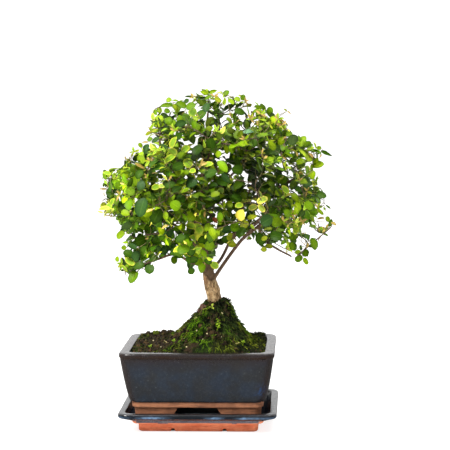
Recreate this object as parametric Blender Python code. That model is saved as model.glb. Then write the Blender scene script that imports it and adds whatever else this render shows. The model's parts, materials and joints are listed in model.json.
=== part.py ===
"""Sweet plum bonsai: a small tree in a glazed pot that stands on a drip tray.

Lengths are in metres and Z is up. The design is laid out about the tray's centre on the ground, X along the
pot and Y towards its back. At the end an empty carries every piece, so that the whole object is centred on
its origin.
"""

import math
import random

import bmesh
import bpy
import numpy as np
from mathutils import Matrix, Vector
from mathutils.bvhtree import BVHTree

MM = 0.001
GAP = 0.3 * MM
SEED = 7

# Drip tray: half lengths along X and Y, and heights
TRAY_RIM = (80.4 * MM, 58.5 * MM)
TRAY_RIM_TOP = 21.9 * MM
TRAY_RIM_UNDERSIDE = 17.0 * MM
TRAY_RIM_WIDTH = 7.0 * MM
TRAY_BODY = (67.0 * MM, 46.0 * MM)
TRAY_BODY_TOP = 12.3 * MM
TRAY_FOOT = (61.2 * MM, 39.3 * MM)
TRAY_FOOT_HEIGHT = 9.6 * MM
TRAY_FOOT_WALL = 6.0 * MM
TRAY_RECESS_HEIGHT = 8.0 * MM
TRAY_FLOOR = (68.0 * MM, 47.0 * MM)
TRAY_FLOOR_TOP = 15.0 * MM
TRAY_CORNER = 10.0 * MM
NOTCH_PLACES = (-25.5 * MM, 27.1 * MM)
NOTCH_WIDTH = 4.5 * MM
NOTCH_HEIGHT = 3.0 * MM

# Pot
POT_RIM = (78.5 * MM, 56.6 * MM)
POT_RIM_TOP = 83.4 * MM
POT_LIP_HEIGHT = 5.4 * MM
POT_LIP_PROUD = 1.0 * MM
POT_LIP_ROUNDING = 1.6 * MM
POT_RIM_WIDTH = 10.0 * MM
POT_GLAZE_FOOT = (68.75 * MM, 48.05 * MM)
POT_GLAZE_BOTTOM = 32.3 * MM
POT_BAND = (66.9 * MM, 46.4 * MM)
POT_BAND_BOTTOM = 26.2 * MM
POT_FOOT = (64.2 * MM, 43.4 * MM)
POT_FOOT_BOTTOM = TRAY_FLOOR_TOP + GAP
POT_FOOT_WALL = 8.0 * MM
POT_RECESS_TOP = 26.6 * MM
POT_FLOOR = (61.3 * MM, 41.0 * MM)
POT_FLOOR_TOP = 33.0 * MM
POT_CORNER = 11.0 * MM
POT_BOW = 0.72
ARCH_HEIGHT = 25.8 * MM
ARCH_LONG = (20.0 * MM, 28.0 * MM)
ARCH_SHORT = (14.0 * MM, 19.0 * MM)
DRAIN_PLACES = (-31.0 * MM, 31.0 * MM)
DRAIN_RADIUS = 6.0 * MM
SCREEN_SIDE = 26.0 * MM
SCREEN_THICKNESS = 1.0 * MM
SCREEN_SLOTS = 4
SCREEN_SLOT_WIDTH = 2.2 * MM

# Soil and its mound
SOIL_EDGE_HEIGHT = 79.5 * MM
SOIL_LEVEL = 82.5 * MM
SOIL_BACK_RISE = 3.0 * MM
SOIL_RINGS = 8
MOUND_TOP = 130.0 * MM
MOUND_TOP_RADIUS = 12.0 * MM
MOUND_OFFSET = 2.2 * MM
MOUND_SLOPES = {"left": 0.94, "right": 1.6, "front": 1.15, "back": 1.25}
MOUND_BLEND = 4.0 * MM
BED_WAVE = 1.6 * MM
BED_WAVELENGTHS = (17.0 * MM, 15.0 * MM)
BUMP_HEIGHT = 0.8 * MM
BUMP_WAVELENGTHS = (5.1 * MM, 6.3 * MM, 3.7 * MM)
TRUNK_PLACE = (16.4 * MM, 0.0)
TRUNK_HOLE_RADIUS = 8.3 * MM
TRUNK_HOLE_BOTTOM = 68.0 * MM

# Wood: each limb is a list of (x, y, z, radius) in millimetres, from where it leaves its parent to its tip
TRUNK = (
    (16.4, 0, 68.5, 7.3),
    (16.4, 0, 100, 7.5),
    (16.3, 0, 127, 7.0),
    (14.7, 0, 136, 7.4),
    (13.2, 0, 142, 7.5),
    (11.2, 0, 149, 6.8),
    (9.6, 0, 158, 6.0),
    (7.6, 1, 170, 4.8),
    (2.6, 2, 187, 4.2),
    (-1.6, 3, 202, 4.0),
    (-1.0, 3, 219, 3.5),
    (2.0, 2, 243, 2.9),
    (7.0, 0, 272, 2.2),
    (9.0, 0, 300, 1.6),
    (11.0, 0, 324, 1.1),
)
LIMBS = {
    "right_front": ((12.6, -1, 148, 2.3), (22.8, -4, 163, 2.0), (37, -7, 183, 1.9), (46, -9, 194, 1.9),
                    (62, -12, 207, 1.7), (82, -14, 222, 1.4), (101, -15, 238, 1.1)),
    "right_back": ((10.4, 1, 158, 2.1), (21.6, 6, 170, 1.8), (31, 10, 188, 1.7), (38.5, 15, 205, 1.6),
                   (47, 23, 229, 1.4), (57, 31, 252, 1.3), (66, 36, 273, 1.1)),
    "right_low": ((62, -12, 207, 1.6), (68, -17, 194, 1.4), (81, -21, 185, 1.3), (95, -24, 178, 1.1)),
    "right_side": ((47, 23, 229, 1.4), (62, 22, 236, 1.3), (82, 20, 244, 1.2), (102, 18, 256, 1.1)),
    "right_top": ((-1.0, 3, 219, 2.0), (12, -4, 234, 1.8), (30, -12, 254, 1.5), (48, -18, 274, 1.3),
                  (60, -20, 294, 1.1)),
    "left_low": ((6.4, 0, 164, 1.8), (-8, -4, 169, 1.6), (-24, -10, 178, 1.5), (-40, -14, 174, 1.3),
                 (-56, -18, 169, 1.1)),
    "left_mid": ((5.0, 1, 178, 1.9), (-7, -3, 190, 1.7), (-16, -8, 202, 1.6), (-32, -12, 214, 1.5),
                 (-52, -12, 226, 1.3), (-74, -10, 234, 1.1)),
    "left_back": ((-1.6, 3, 202, 1.8), (-14, 17, 213, 1.6), (-32, 31, 224, 1.4), (-50, 43, 237, 1.1)),
    "left_top": ((-1.0, 3, 219, 2.0), (-13, 6, 236, 1.7), (-27, 8, 256, 1.5), (-38, 8, 278, 1.3),
                 (-40, 8, 300, 1.1)),
    "left_front": ((-1.3, 3, 210, 1.7), (-13, -14, 220, 1.5), (-28, -32, 231, 1.3), (-40, -50, 243, 1.1)),
    "front_low": ((2.6, 2, 187, 1.8), (3, -15, 198, 1.6), (8, -34, 208, 1.4), (13, -54, 218, 1.1)),
    "front_right": ((37, -7, 183, 1.7), (47, -23, 196, 1.5), (58, -41, 210, 1.3), (70, -57, 225, 1.1)),
    "back_low": ((0.5, 2.4, 194, 1.9), (5, 20, 203, 1.7), (10, 40, 213, 1.4), (13, 60, 225, 1.1)),
    "back_right": ((31, 10, 188, 1.6), (41, 27, 197, 1.5), (60, 43, 208, 1.3), (78, 52, 222, 1.1)),
    "top_front": ((2.0, 2, 243, 1.8), (6, -14, 259, 1.6), (12, -31, 276, 1.4), (18, -44, 294, 1.1)),
    "top_back": ((3.7, 1, 253, 1.8), (8, 18, 268, 1.6), (12, 36, 284, 1.4), (14, 46, 302, 1.1)),
}

# Crown outline seen from the front: height, left reach and right reach in millimetres
CROWN_OUTLINE = (
    (178, -78, 104), (200, -84, 126), (221, -104, 132), (245, -102, 128), (265, -98, 124), (285, -74, 130),
    (300, -58, 110), (315, -52, 92), (332, -40, 72), (342, -16, 46), (348, 2, 20),
)
# Underside of the crown: place along X and lowest leaf in millimetres
CROWN_UNDERSIDE = (
    (-110, 200), (-90, 168), (-74, 152), (-57, 162), (-41, 174), (-16, 172), (12, 178), (42, 188), (58, 182),
    (91, 174), (108, 172), (120, 186), (134, 198),
)
CROWN_CENTRE = (15, 0, 222)
CROWN_DEPTH_SHARE = 0.80
CROWN_FARTHEST = 200.0
CROWN_MARGIN = 0.97
# Tips that stand out of the dome, in millimetres
LONE_TIPS = (
    (-102, -10, 222), (133, -29, 206), (113, -27, 193), (-70, -24, 150), (-82, -16, 160), (-62, -30, 160),
    (106, -26, 170), (90, -30, 172), (12, -4, 341), (-97, 4, 262), (128, 8, 281), (-46, -4, 324),
    (44, 6, 338), (-9, -18, 162), (8, -26, 180), (-14, -30, 190), (22, -22, 176), (80, -6, 318),
    (12, -92, 232), (14, 92, 234),
)

# Twigs and leaves, in millimetres. A turn is limited by the cosine between two directions
UPPER_TRUNK_JOINTS = 5
LOWEST_SPRAY = 165
SHARPEST_TURN = -0.1
TWIG_ROOM = 1.4
SITES = 205
MOST_SPRAYS = 52
NEAREST_FORK = 0.7
SITE_TRIES = 14
INNER_SHARE = 0.42
LONGEST_STRETCH = 42.0
DETOUR_COST = 0.30
MOST_SITES_PER_SPRAY = 6
TWIG_TIP_RADIUS = 0.75
TWIG_GROWTH = 0.18
SPRAY_FOOT_SHARE = 1.1
SIDE_TWIG_SHARE = 0.6
TWIG_SIDES = 4
LIMB_SIDES = 4
TRUNK_SIDES = 12
SEAT_STEP = 0.1 * MM
LEAF_SPACING = 19.0
LEAF_LENGTHS = (14.5, 18.0)
LEAF_THICKNESS = 0.6
LEAF_ROOM = 0.45
LEAF_TRIES = 26
LEAF_FULL_SIZE_TRIES = 15
LEAF_REDUCTION = 0.8
LEAF_TURN = math.pi + 0.5
LEAF_OUTWARD_PULL = 0.35
LEAF_OUTWARD_FACING = 0.6
LEAF_FACING_SPREAD = 0.7
LEAF_TEST_START = 0.22
# Blade outline up to its tip: share of the length, and half width as a share of the length
LEAF_OUTLINE = ((0.0, 0.018), (0.30, 0.37), (0.72, 0.40))
LEAF_ARCH = 0.10


# Crown, limbs and twigs as points, all in millimetres


def between(table, height, column):
    """Value of a column of the table at a height, on straight lines between its rows."""
    heights = [row[0] for row in table]
    values = [row[column] for row in table]
    return float(np.interp(height, heights, values))


def in_crown(x, y, z):
    """True inside the dome of leaves."""
    if z > CROWN_OUTLINE[-1][0] or z < between(CROWN_UNDERSIDE, x, 1):
        return False
    left = between(CROWN_OUTLINE, z, 1)
    right = between(CROWN_OUTLINE, z, 2)
    half_width = (right - left) / 2
    across = (x - (left + right) / 2) / half_width
    deep = y / (half_width * CROWN_DEPTH_SHARE)
    return across * across + deep * deep < 1


def reach(direction):
    """Distance from the crown's centre to its surface."""
    step = 2.0
    length = step
    while in_crown(*(np.array(CROWN_CENTRE) + direction * length)) and length < CROWN_FARTHEST:
        length += step
    return length


def leaf_sites(rng):
    """Evenly spread places that twigs grow to, most of them in the outer part of the crown."""
    sites = [np.array(tip, float) for tip in LONE_TIPS]
    while len(sites) < SITES:
        best = None
        best_room = -1.0
        for _ in range(SITE_TRIES):
            direction = np.array([rng.gauss(0, 1) for _ in range(3)])
            direction /= np.linalg.norm(direction)
            share = INNER_SHARE + (1 - INNER_SHARE) * math.sqrt(rng.random())
            place = np.array(CROWN_CENTRE) + direction * reach(direction) * share * CROWN_MARGIN
            room = min(np.linalg.norm(place - other) for other in sites)
            if room > best_room:
                best = place
                best_room = room
        sites.append(best)
    return np.array(sites)


def stretch_gaps(start, end, starts, ends):
    """Smallest distance between the stretch from start to end and each other stretch."""
    along = np.linspace(0, 1, 25)[:, None, None]
    points = start + (end - start) * along
    spans = ends - starts
    share = ((points - starts) * spans).sum(2) / (spans * spans).sum(1)
    nearest = starts + spans * np.clip(share, 0, 1)[..., None]
    return np.linalg.norm(points - nearest, axis=2).min(0)


class Tree:
    """Joints of the wood and the twigs: place, parent, radius and the spray that each belongs to."""

    def __init__(self):
        self.places = []
        self.parents = []
        self.radii = []
        self.sprays = []
        self.paths = []

    def add(self, place, parent, radius, spray):
        self.places.append(np.array(place, float))
        self.parents.append(parent)
        self.radii.append(radius)
        self.sprays.append(spray)
        length = 0.0
        if spray is not None:
            length = self.paths[parent] + np.linalg.norm(self.places[-1] - self.places[parent])
        self.paths.append(length)
        return len(self.places) - 1

    def children(self, joint):
        return [index for index, parent in enumerate(self.parents) if parent == joint]

    def heading(self, joint):
        """Direction in which growth arrives at a joint."""
        parent = self.parents[joint]
        step = self.places[joint] - self.places[parent if parent is not None else joint]
        return step / max(np.linalg.norm(step), 1e-9)

    def stretches(self, apart_from):
        """Starts, ends and radii of all stretches that don't touch one joint."""
        chosen = []
        for index, parent in enumerate(self.parents):
            if parent is not None and apart_from not in (index, parent):
                radius = max(self.radii[parent], self.radii[index])
                chosen.append((self.places[parent], self.places[index], radius))
        starts, ends, radii = zip(*chosen)
        return np.array(starts), np.array(ends), np.array(radii)


def add_wood(tree):
    """Trunk and limbs as chains of joints."""
    for limb in (TRUNK, *LIMBS.values()):
        joint = None
        for x, y, z, radius in limb:
            joint = tree.add((x, y, z), joint, radius, None)


def first_free_joints(tree):
    """Joints of the wood where a spray may start: limbs past their first stretch, and the upper trunk."""
    free = set()
    for joint, parent in enumerate(tree.parents):
        past_first = parent is not None and tree.parents[parent] is not None
        if past_first and tree.places[joint][2] > LOWEST_SPRAY:
            free.add(joint)
    return {joint for joint in free if joint >= len(TRUNK) - UPPER_TRUNK_JOINTS}


def may_grow(tree, joint, site, starts_left):
    """True where a new stretch from the joint to the site is natural and clear of all the others."""
    step = site - tree.places[joint]
    length = np.linalg.norm(step)
    direction = step / length
    spray = tree.sprays[joint]
    children = tree.children(joint)
    if spray is None:
        grown = sum(tree.sprays[child] is not None for child in children)
        if grown > 1 or not starts_left:
            return False
    elif len(children) > 1 or tree.sprays.count(spray) >= MOST_SITES_PER_SPRAY:
        return False
    if length > LONGEST_STRETCH or direction @ tree.heading(joint) < SHARPEST_TURN:
        return False
    for child in children:
        if direction @ tree.heading(child) > NEAREST_FORK:
            return False
    starts, ends, radii = tree.stretches(joint)
    room = stretch_gaps(tree.places[joint], site, starts, ends) - radii
    return room.min() > TWIG_TIP_RADIUS + TWIG_ROOM


def grow_twigs(tree, sites):
    """Joins each site to the tree by the cheapest stretch that may grow there, nearest first."""
    free = first_free_joints(tree)
    joints = len(tree.places)
    cost = np.full((len(sites), joints + len(sites)), np.inf)
    for joint in free:
        cost[:, joint] = np.linalg.norm(sites - tree.places[joint], axis=1)
    sprays = 0
    while np.isfinite(cost).any():
        site, joint = np.unravel_index(np.argmin(cost), cost.shape)
        joint = int(joint)
        if not may_grow(tree, joint, sites[site], sprays < MOST_SPRAYS):
            cost[site, joint] = np.inf
            continue
        spray = tree.sprays[joint]
        if spray is None:
            sprays += 1
            spray = sprays
        new = tree.add(sites[site], joint, TWIG_TIP_RADIUS, spray)
        cost[site, :] = np.inf
        waiting = np.isfinite(cost).any(axis=1)
        lengths = np.linalg.norm(sites - tree.places[new], axis=1)
        cost[waiting, new] = lengths[waiting] + DETOUR_COST * tree.paths[new]


def thicken_twigs(tree):
    """Gives each twig joint a radius that grows with the number of joints that it carries."""
    carried = [1] * len(tree.places)
    for joint in range(len(tree.places) - 1, -1, -1):
        if tree.sprays[joint] is not None:
            tree.radii[joint] = TWIG_TIP_RADIUS + TWIG_GROWTH * (math.sqrt(carried[joint]) - 1)
            carried[tree.parents[joint]] += carried[joint]


def grown_tree():
    tree = Tree()
    add_wood(tree)
    grow_twigs(tree, leaf_sites(random.Random(SEED)))
    thicken_twigs(tree)
    return tree


def chains_of(tree, spray):
    """Runs of joints of a spray, each from the joint that it leaves to a tip."""
    chains = []
    for joint, owner in enumerate(tree.sprays):
        if owner != spray:
            continue
        parent = tree.parents[joint]
        chain = next((chain for chain in chains if chain[-1] == parent), None)
        if chain is None:
            chains.append([parent, joint])
        else:
            chain.append(joint)
    return chains


# Mesh helpers


def new_object(name, vertices, faces, material):
    mesh = bpy.data.meshes.new(name)
    mesh.from_pydata([tuple(vertex) for vertex in vertices], [], faces)
    mesh.update()
    made = bpy.data.objects.new(name, mesh)
    bpy.context.scene.collection.objects.link(made)
    if material is not None:
        mesh.materials.append(material)
    return made


def new_material(name, colour, roughness, metallic=0.0):
    material = bpy.data.materials.new(name)
    material.use_nodes = True
    shader = material.node_tree.nodes["Principled BSDF"]
    shader.inputs["Base Color"].default_value = (*colour, 1.0)
    shader.inputs["Roughness"].default_value = roughness
    shader.inputs["Metallic"].default_value = metallic
    material.diffuse_color = (*colour, 1.0)
    return material


def smooth(piece, angle):
    piece.data.shade_smooth()
    piece.data.set_sharp_from_angle(angle=math.radians(angle))


def rounded_rectangle(half_x, half_y, radius, z, arc_steps=3, side_steps=1):
    """Points of a rounded rectangle at one height, anticlockwise seen from above."""
    points = []
    signs = ((1, 1), (-1, 1), (-1, -1), (1, -1))
    for corner, (sign_x, sign_y) in enumerate(signs):
        centre = Vector((sign_x * (half_x - radius), sign_y * (half_y - radius), z))
        for step in range(arc_steps + 1):
            angle = math.radians(90 * (corner + step / arc_steps))
            points.append(centre + Vector((math.cos(angle), math.sin(angle), 0)) * radius)
        next_x, next_y = signs[(corner + 1) % 4]
        turn = math.radians(90 * (corner + 1))
        side_end = Vector((next_x * (half_x - radius), next_y * (half_y - radius), z))
        side_end += Vector((math.cos(turn), math.sin(turn), 0)) * radius
        side_start = points[-1]
        for step in range(1, side_steps):
            points.append(side_start.lerp(side_end, step / side_steps))
    return points


def lofted(name, rings, material):
    """A closed body through rings of equally many points, from its underside over its top, with flat ends."""
    count = len(rings[0])
    vertices = [point for ring in rings for point in ring]
    faces = [tuple(reversed(range(count)))]
    for level in range(len(rings) - 1):
        low = level * count
        high = low + count
        for index in range(count):
            after = (index + 1) % count
            faces.append((low + index, low + after, high + after, high + index))
    last = (len(rings) - 1) * count
    faces.append(tuple(range(last, last + count)))
    return new_object(name, vertices, faces, material)


def tube(points, radii, sides, twist=0.0):
    """Vertices and faces of a closed tapered tube along a path."""
    vertices = []
    rings = len(points)
    side = None
    for index, point in enumerate(points):
        before = points[max(index - 1, 0)]
        after = points[min(index + 1, rings - 1)]
        ahead = (after - before).normalized()
        if side is None:
            side = ahead.orthogonal().normalized()
        side = (side - ahead * side.dot(ahead)).normalized()
        across = ahead.cross(side)
        for corner in range(sides):
            angle = 2 * math.pi * corner / sides + twist
            vertices.append(point + (side * math.cos(angle) + across * math.sin(angle)) * radii[index])
    faces = [tuple(reversed(range(sides)))]
    for ring in range(rings - 1):
        for corner in range(sides):
            low = ring * sides + corner
            low_next = ring * sides + (corner + 1) % sides
            faces.append((low, low_next, low_next + sides, low + sides))
    last = (rings - 1) * sides
    faces.append(tuple(range(last, last + sides)))
    return vertices, faces


def cutter(name, vertices, faces):
    made = new_object(name, vertices, faces, None)
    made.hide_render = True
    made.display_type = "WIRE"
    return made


def box_shape(low, high):
    """Vertices and faces of a box."""
    along_x, along_y, along_z = zip(low, high)
    vertices = [Vector((x, y, z)) for z in along_z for y in along_y for x in along_x]
    faces = [(0, 2, 3, 1), (4, 5, 7, 6), (0, 1, 5, 4), (1, 3, 7, 5), (3, 2, 6, 7), (2, 0, 4, 6)]
    return vertices, faces


def cut(piece, tool):
    modifier = piece.modifiers.new(tool.name, "BOOLEAN")
    modifier.operation = "DIFFERENCE"
    modifier.object = tool


def fuse(name, shapes, material):
    """One body from overlapping closed shapes, the first of which holds them together."""
    parts = [new_object(name + "_part", vertices, faces, None) for vertices, faces in shapes]
    core, others = parts[0], parts[1:]
    group = bpy.data.collections.new(name + "_parts")
    for other in others:
        group.objects.link(other)
    modifier = core.modifiers.new("fuse", "BOOLEAN")
    modifier.operation = "UNION"
    modifier.operand_type = "COLLECTION"
    modifier.collection = group
    modifier.solver = "MANIFOLD"
    fused = bpy.data.meshes.new_from_object(core.evaluated_get(bpy.context.evaluated_depsgraph_get()))
    for part in parts:
        bpy.data.objects.remove(part)
    bpy.data.collections.remove(group)
    fused.name = name
    fused.materials.clear()
    fused.materials.append(material)
    made = bpy.data.objects.new(name, fused)
    bpy.context.scene.collection.objects.link(made)
    return made


# Tray


def make_tray(material):
    rim_x, rim_y = TRAY_RIM
    edge = 1.2 * MM
    inner = TRAY_RIM_WIDTH
    outline = (
        (*TRAY_FOOT, TRAY_CORNER - 4 * MM, 0.0),
        (*TRAY_FOOT, TRAY_CORNER - 4 * MM, TRAY_FOOT_HEIGHT),
        (*TRAY_BODY, TRAY_CORNER - 3 * MM, TRAY_FOOT_HEIGHT),
        (*TRAY_BODY, TRAY_CORNER - 3 * MM, TRAY_BODY_TOP),
        (rim_x - edge, rim_y - edge, TRAY_CORNER - edge, TRAY_RIM_UNDERSIDE),
        (rim_x, rim_y, TRAY_CORNER, TRAY_RIM_UNDERSIDE + edge),
        (rim_x, rim_y, TRAY_CORNER, TRAY_RIM_TOP - edge),
        (rim_x - edge, rim_y - edge, TRAY_CORNER - edge, TRAY_RIM_TOP),
        (rim_x - inner, rim_y - inner, TRAY_CORNER - 3 * MM, TRAY_RIM_TOP - 0.3 * MM),
        (*TRAY_FLOOR, TRAY_CORNER - 4 * MM, TRAY_FLOOR_TOP),
    )
    tray = lofted("tray", [rounded_rectangle(*ring) for ring in outline], material)
    recess = [
        rounded_rectangle(
            TRAY_FOOT[0] - TRAY_FOOT_WALL, TRAY_FOOT[1] - TRAY_FOOT_WALL, 3 * MM, height, arc_steps=2
        )
        for height in (-MM, TRAY_RECESS_HEIGHT)
    ]
    tool = lofted("tray_recess", recess, None)
    tool.hide_render = True
    tool.display_type = "WIRE"
    cut(tray, tool)
    for number, place in enumerate(NOTCH_PLACES):
        low = (place - NOTCH_WIDTH / 2, -TRAY_RIM[1], -MM)
        high = (place + NOTCH_WIDTH / 2, TRAY_RIM[1], NOTCH_HEIGHT)
        cut(tray, cutter(f"tray_notch_{number + 1}", *box_shape(low, high)))
    smooth(tray, 40)
    return tray


# Pot


def inside_of_pot(height):
    """Half lengths of the pot's inside at a height."""
    share = (height - POT_FLOOR_TOP) / (POT_RIM_TOP - MM - POT_FLOOR_TOP)
    top = (POT_RIM[0] - POT_RIM_WIDTH, POT_RIM[1] - POT_RIM_WIDTH)
    return tuple(low + (high - low) * share for low, high in zip(POT_FLOOR, top))


def pot_outline():
    """Half lengths, corner radius and height of each ring, from the foot over the lip to the inner floor."""
    lip_bottom = POT_RIM_TOP - POT_LIP_HEIGHT
    neck = [side - POT_LIP_PROUD for side in POT_RIM]
    rings = [
        (*POT_FOOT, POT_CORNER - 3 * MM, POT_FOOT_BOTTOM),
        (POT_FOOT[0] + 0.6 * MM, POT_FOOT[1] + 0.6 * MM, POT_CORNER - 3 * MM, POT_BAND_BOTTOM - 0.4 * MM),
        (*POT_BAND, POT_CORNER - 2 * MM, POT_BAND_BOTTOM),
        (*POT_BAND, POT_CORNER - 2 * MM, POT_GLAZE_BOTTOM - 0.4 * MM),
    ]
    for share in (0.0, 0.06, 0.2, 0.42, 0.7, 1.0):
        bow = share**POT_BOW
        half_x, half_y = (low + (high - low) * bow for low, high in zip(POT_GLAZE_FOOT, neck))
        height = POT_GLAZE_BOTTOM + (lip_bottom - POT_GLAZE_BOTTOM) * share
        rings.append((half_x, half_y, POT_CORNER - MM, height))
    round_off = POT_LIP_ROUNDING
    half_off = [side - 0.5 * round_off for side in POT_RIM]
    inner_top = (POT_RIM[0] - POT_RIM_WIDTH, POT_RIM[1] - POT_RIM_WIDTH)
    rings += [
        (*POT_RIM, POT_CORNER, lip_bottom + 0.8 * MM),
        (*POT_RIM, POT_CORNER, POT_RIM_TOP - round_off),
        (*half_off, POT_CORNER, POT_RIM_TOP - 0.35 * round_off),
        (POT_RIM[0] - round_off, POT_RIM[1] - round_off, POT_CORNER - MM, POT_RIM_TOP),
        (inner_top[0] + MM, inner_top[1] + MM, POT_CORNER - 3 * MM, POT_RIM_TOP),
        (*inner_top, POT_CORNER - 4 * MM, POT_RIM_TOP - MM),
        (*POT_FLOOR, POT_CORNER - 5 * MM, POT_FLOOR_TOP),
    ]
    return rings


def arch_shape(half_widths, half_length, along_x):
    """A prism with slanted sides that cuts an arch through both walls of the foot."""
    top, bottom = half_widths
    low = POT_FOOT_BOTTOM - MM
    profile = ((-bottom, low), (bottom, low), (top, ARCH_HEIGHT), (-top, ARCH_HEIGHT))
    vertices = []
    for end in (-half_length, half_length):
        for across, height in profile:
            place = (end, across, height) if along_x else (across, end, height)
            vertices.append(Vector(place))
    faces = [(0, 1, 2, 3), (7, 6, 5, 4)]
    for corner in range(4):
        after = (corner + 1) % 4
        faces.append((corner, corner + 4, after + 4, after))
    if along_x:
        faces = [tuple(reversed(face)) for face in faces]
    return vertices, [tuple(reversed(face)) for face in faces]


def make_pot(material):
    pot = lofted("pot", [rounded_rectangle(*ring) for ring in pot_outline()], material)
    hollow = [side - POT_FOOT_WALL for side in POT_FOOT]
    recess = [
        rounded_rectangle(*hollow, 4 * MM, height, arc_steps=2)
        for height in (POT_FOOT_BOTTOM - MM, POT_RECESS_TOP)
    ]
    tool = lofted("pot_recess", recess, None)
    tool.hide_render = True
    tool.display_type = "WIRE"
    cut(pot, tool)
    cut(pot, outward(cutter("pot_arch_front", *arch_shape(ARCH_LONG, 60 * MM, False))))
    cut(pot, outward(cutter("pot_arch_side", *arch_shape(ARCH_SHORT, 80 * MM, True))))
    for number, place in enumerate(DRAIN_PLACES):
        ends = [Vector((place, 0, POT_RECESS_TOP - 5 * MM)), Vector((place, 0, POT_FLOOR_TOP + 5 * MM))]
        cut(pot, outward(cutter(f"pot_drain_{number + 1}", *tube(ends, [DRAIN_RADIUS] * 2, 16))))
    smooth(pot, 40)
    return pot


def outward(piece):
    """Turns a closed mesh's faces outwards."""
    mesh = bmesh.new()
    mesh.from_mesh(piece.data)
    bmesh.ops.recalc_face_normals(mesh, faces=mesh.faces)
    mesh.to_mesh(piece.data)
    mesh.free()
    return piece


def make_screen(name, place, material):
    """A thin square plate with slots, which lies over a drain hole."""
    low_z = POT_FLOOR_TOP + GAP
    half = SCREEN_SIDE / 2
    plate = box_shape((place - half, -half, low_z), (place + half, half, low_z + SCREEN_THICKNESS))
    screen = new_object(name, *plate, material)
    pitch = SCREEN_SIDE / (SCREEN_SLOTS + 1)
    for slot in range(SCREEN_SLOTS):
        middle = place - half + pitch * (slot + 1)
        low = (middle - SCREEN_SLOT_WIDTH / 2, -half + 4 * MM, low_z - MM)
        high = (middle + SCREEN_SLOT_WIDTH / 2, half - 4 * MM, low_z + SCREEN_THICKNESS + MM)
        cut(screen, cutter(f"{name}_slot_{slot + 1}", *box_shape(low, high)))
    return screen


# Soil


def soil_height(x, y):
    """Height of the soil's surface: a bumpy bed with a steep mound round the trunk."""
    off_x = x - TRUNK_PLACE[0] - MOUND_OFFSET
    off_y = y - TRUNK_PLACE[1]
    distance = math.hypot(off_x, off_y)
    share_x = (off_x / max(distance, MM)) ** 2
    slope_x = MOUND_SLOPES["right" if off_x > 0 else "left"]
    slope_y = MOUND_SLOPES["back" if off_y > 0 else "front"]
    slope = slope_x * share_x + slope_y * (1 - share_x)
    mound = MOUND_TOP - max(0.0, distance - MOUND_TOP_RADIUS) * slope
    wave_x, wave_y, wave_both = BUMP_WAVELENGTHS
    bumps = math.sin(x / wave_x + 1.3) * math.cos(y / wave_y) + 0.6 * math.sin((x + y) / wave_both)
    bed = SOIL_LEVEL + BED_WAVE * math.sin(x / BED_WAVELENGTHS[0]) * math.cos(y / BED_WAVELENGTHS[1] + 0.5)
    bed += SOIL_BACK_RISE * min(max(y / POT_FLOOR[1], 0.0), 1.0)
    overlap = max(0.0, MOUND_BLEND - abs(mound - bed))
    top = max(mound, bed) + overlap**2 / (4 * MOUND_BLEND)
    return top + BUMP_HEIGHT * bumps


def make_soil(material):
    """The soil fills the pot to its rim, with a plain hole for the trunk."""
    arc_steps = 2
    side_steps = 6
    rings = []
    for height in (POT_FLOOR_TOP + GAP, SOIL_EDGE_HEIGHT):
        half_x, half_y = (side - 1.2 * GAP for side in inside_of_pot(height))
        share = (height - POT_FLOOR_TOP) / (POT_RIM_TOP - POT_FLOOR_TOP)
        rings.append(rounded_rectangle(half_x, half_y, (6 + share) * MM, height, arc_steps, side_steps))
    centre = Vector((*TRUNK_PLACE, 0))
    edge = rings[-1]
    for ring in range(1, SOIL_RINGS + 1):
        share = ring / SOIL_RINGS
        points = []
        for point in edge:
            outer = Vector((point.x, point.y, 0)) - centre
            rim = outer.normalized() * TRUNK_HOLE_RADIUS
            place = centre + outer.lerp(rim, share**0.85)
            points.append(Vector((place.x, place.y, soil_height(place.x, place.y))))
        rings.append(points)
    rings.append([Vector((point.x, point.y, TRUNK_HOLE_BOTTOM)) for point in rings[-1]])
    soil = lofted("soil", rings, material)
    mesh = bmesh.new()
    mesh.from_mesh(soil.data)
    bmesh.ops.triangulate(mesh, faces=mesh.faces)
    mesh.to_mesh(soil.data)
    mesh.free()
    for number, place in enumerate(DRAIN_PLACES):
        half = SCREEN_SIDE / 2 + GAP
        low = (place - half, -half, POT_FLOOR_TOP - MM)
        high = (place + half, half, POT_FLOOR_TOP + SCREEN_THICKNESS + 2 * GAP)
        cut(soil, cutter(f"soil_recess_{number + 1}", *box_shape(low, high)))
    smooth(soil, 60)
    return soil


# Wood and leaves


def make_wood(material):
    """Trunk and limbs fused into one body."""
    shapes = []
    for limb in (TRUNK, *LIMBS.values()):
        points = [Vector(joint[:3]) * MM for joint in limb]
        radii = [joint[3] * MM for joint in limb]
        sides = TRUNK_SIDES if limb is TRUNK else LIMB_SIDES
        shapes.append(tube(points, radii, sides, twist=0.3))
    wood = fuse("trunk", shapes, material)
    smooth(wood, 50)
    return wood


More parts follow.
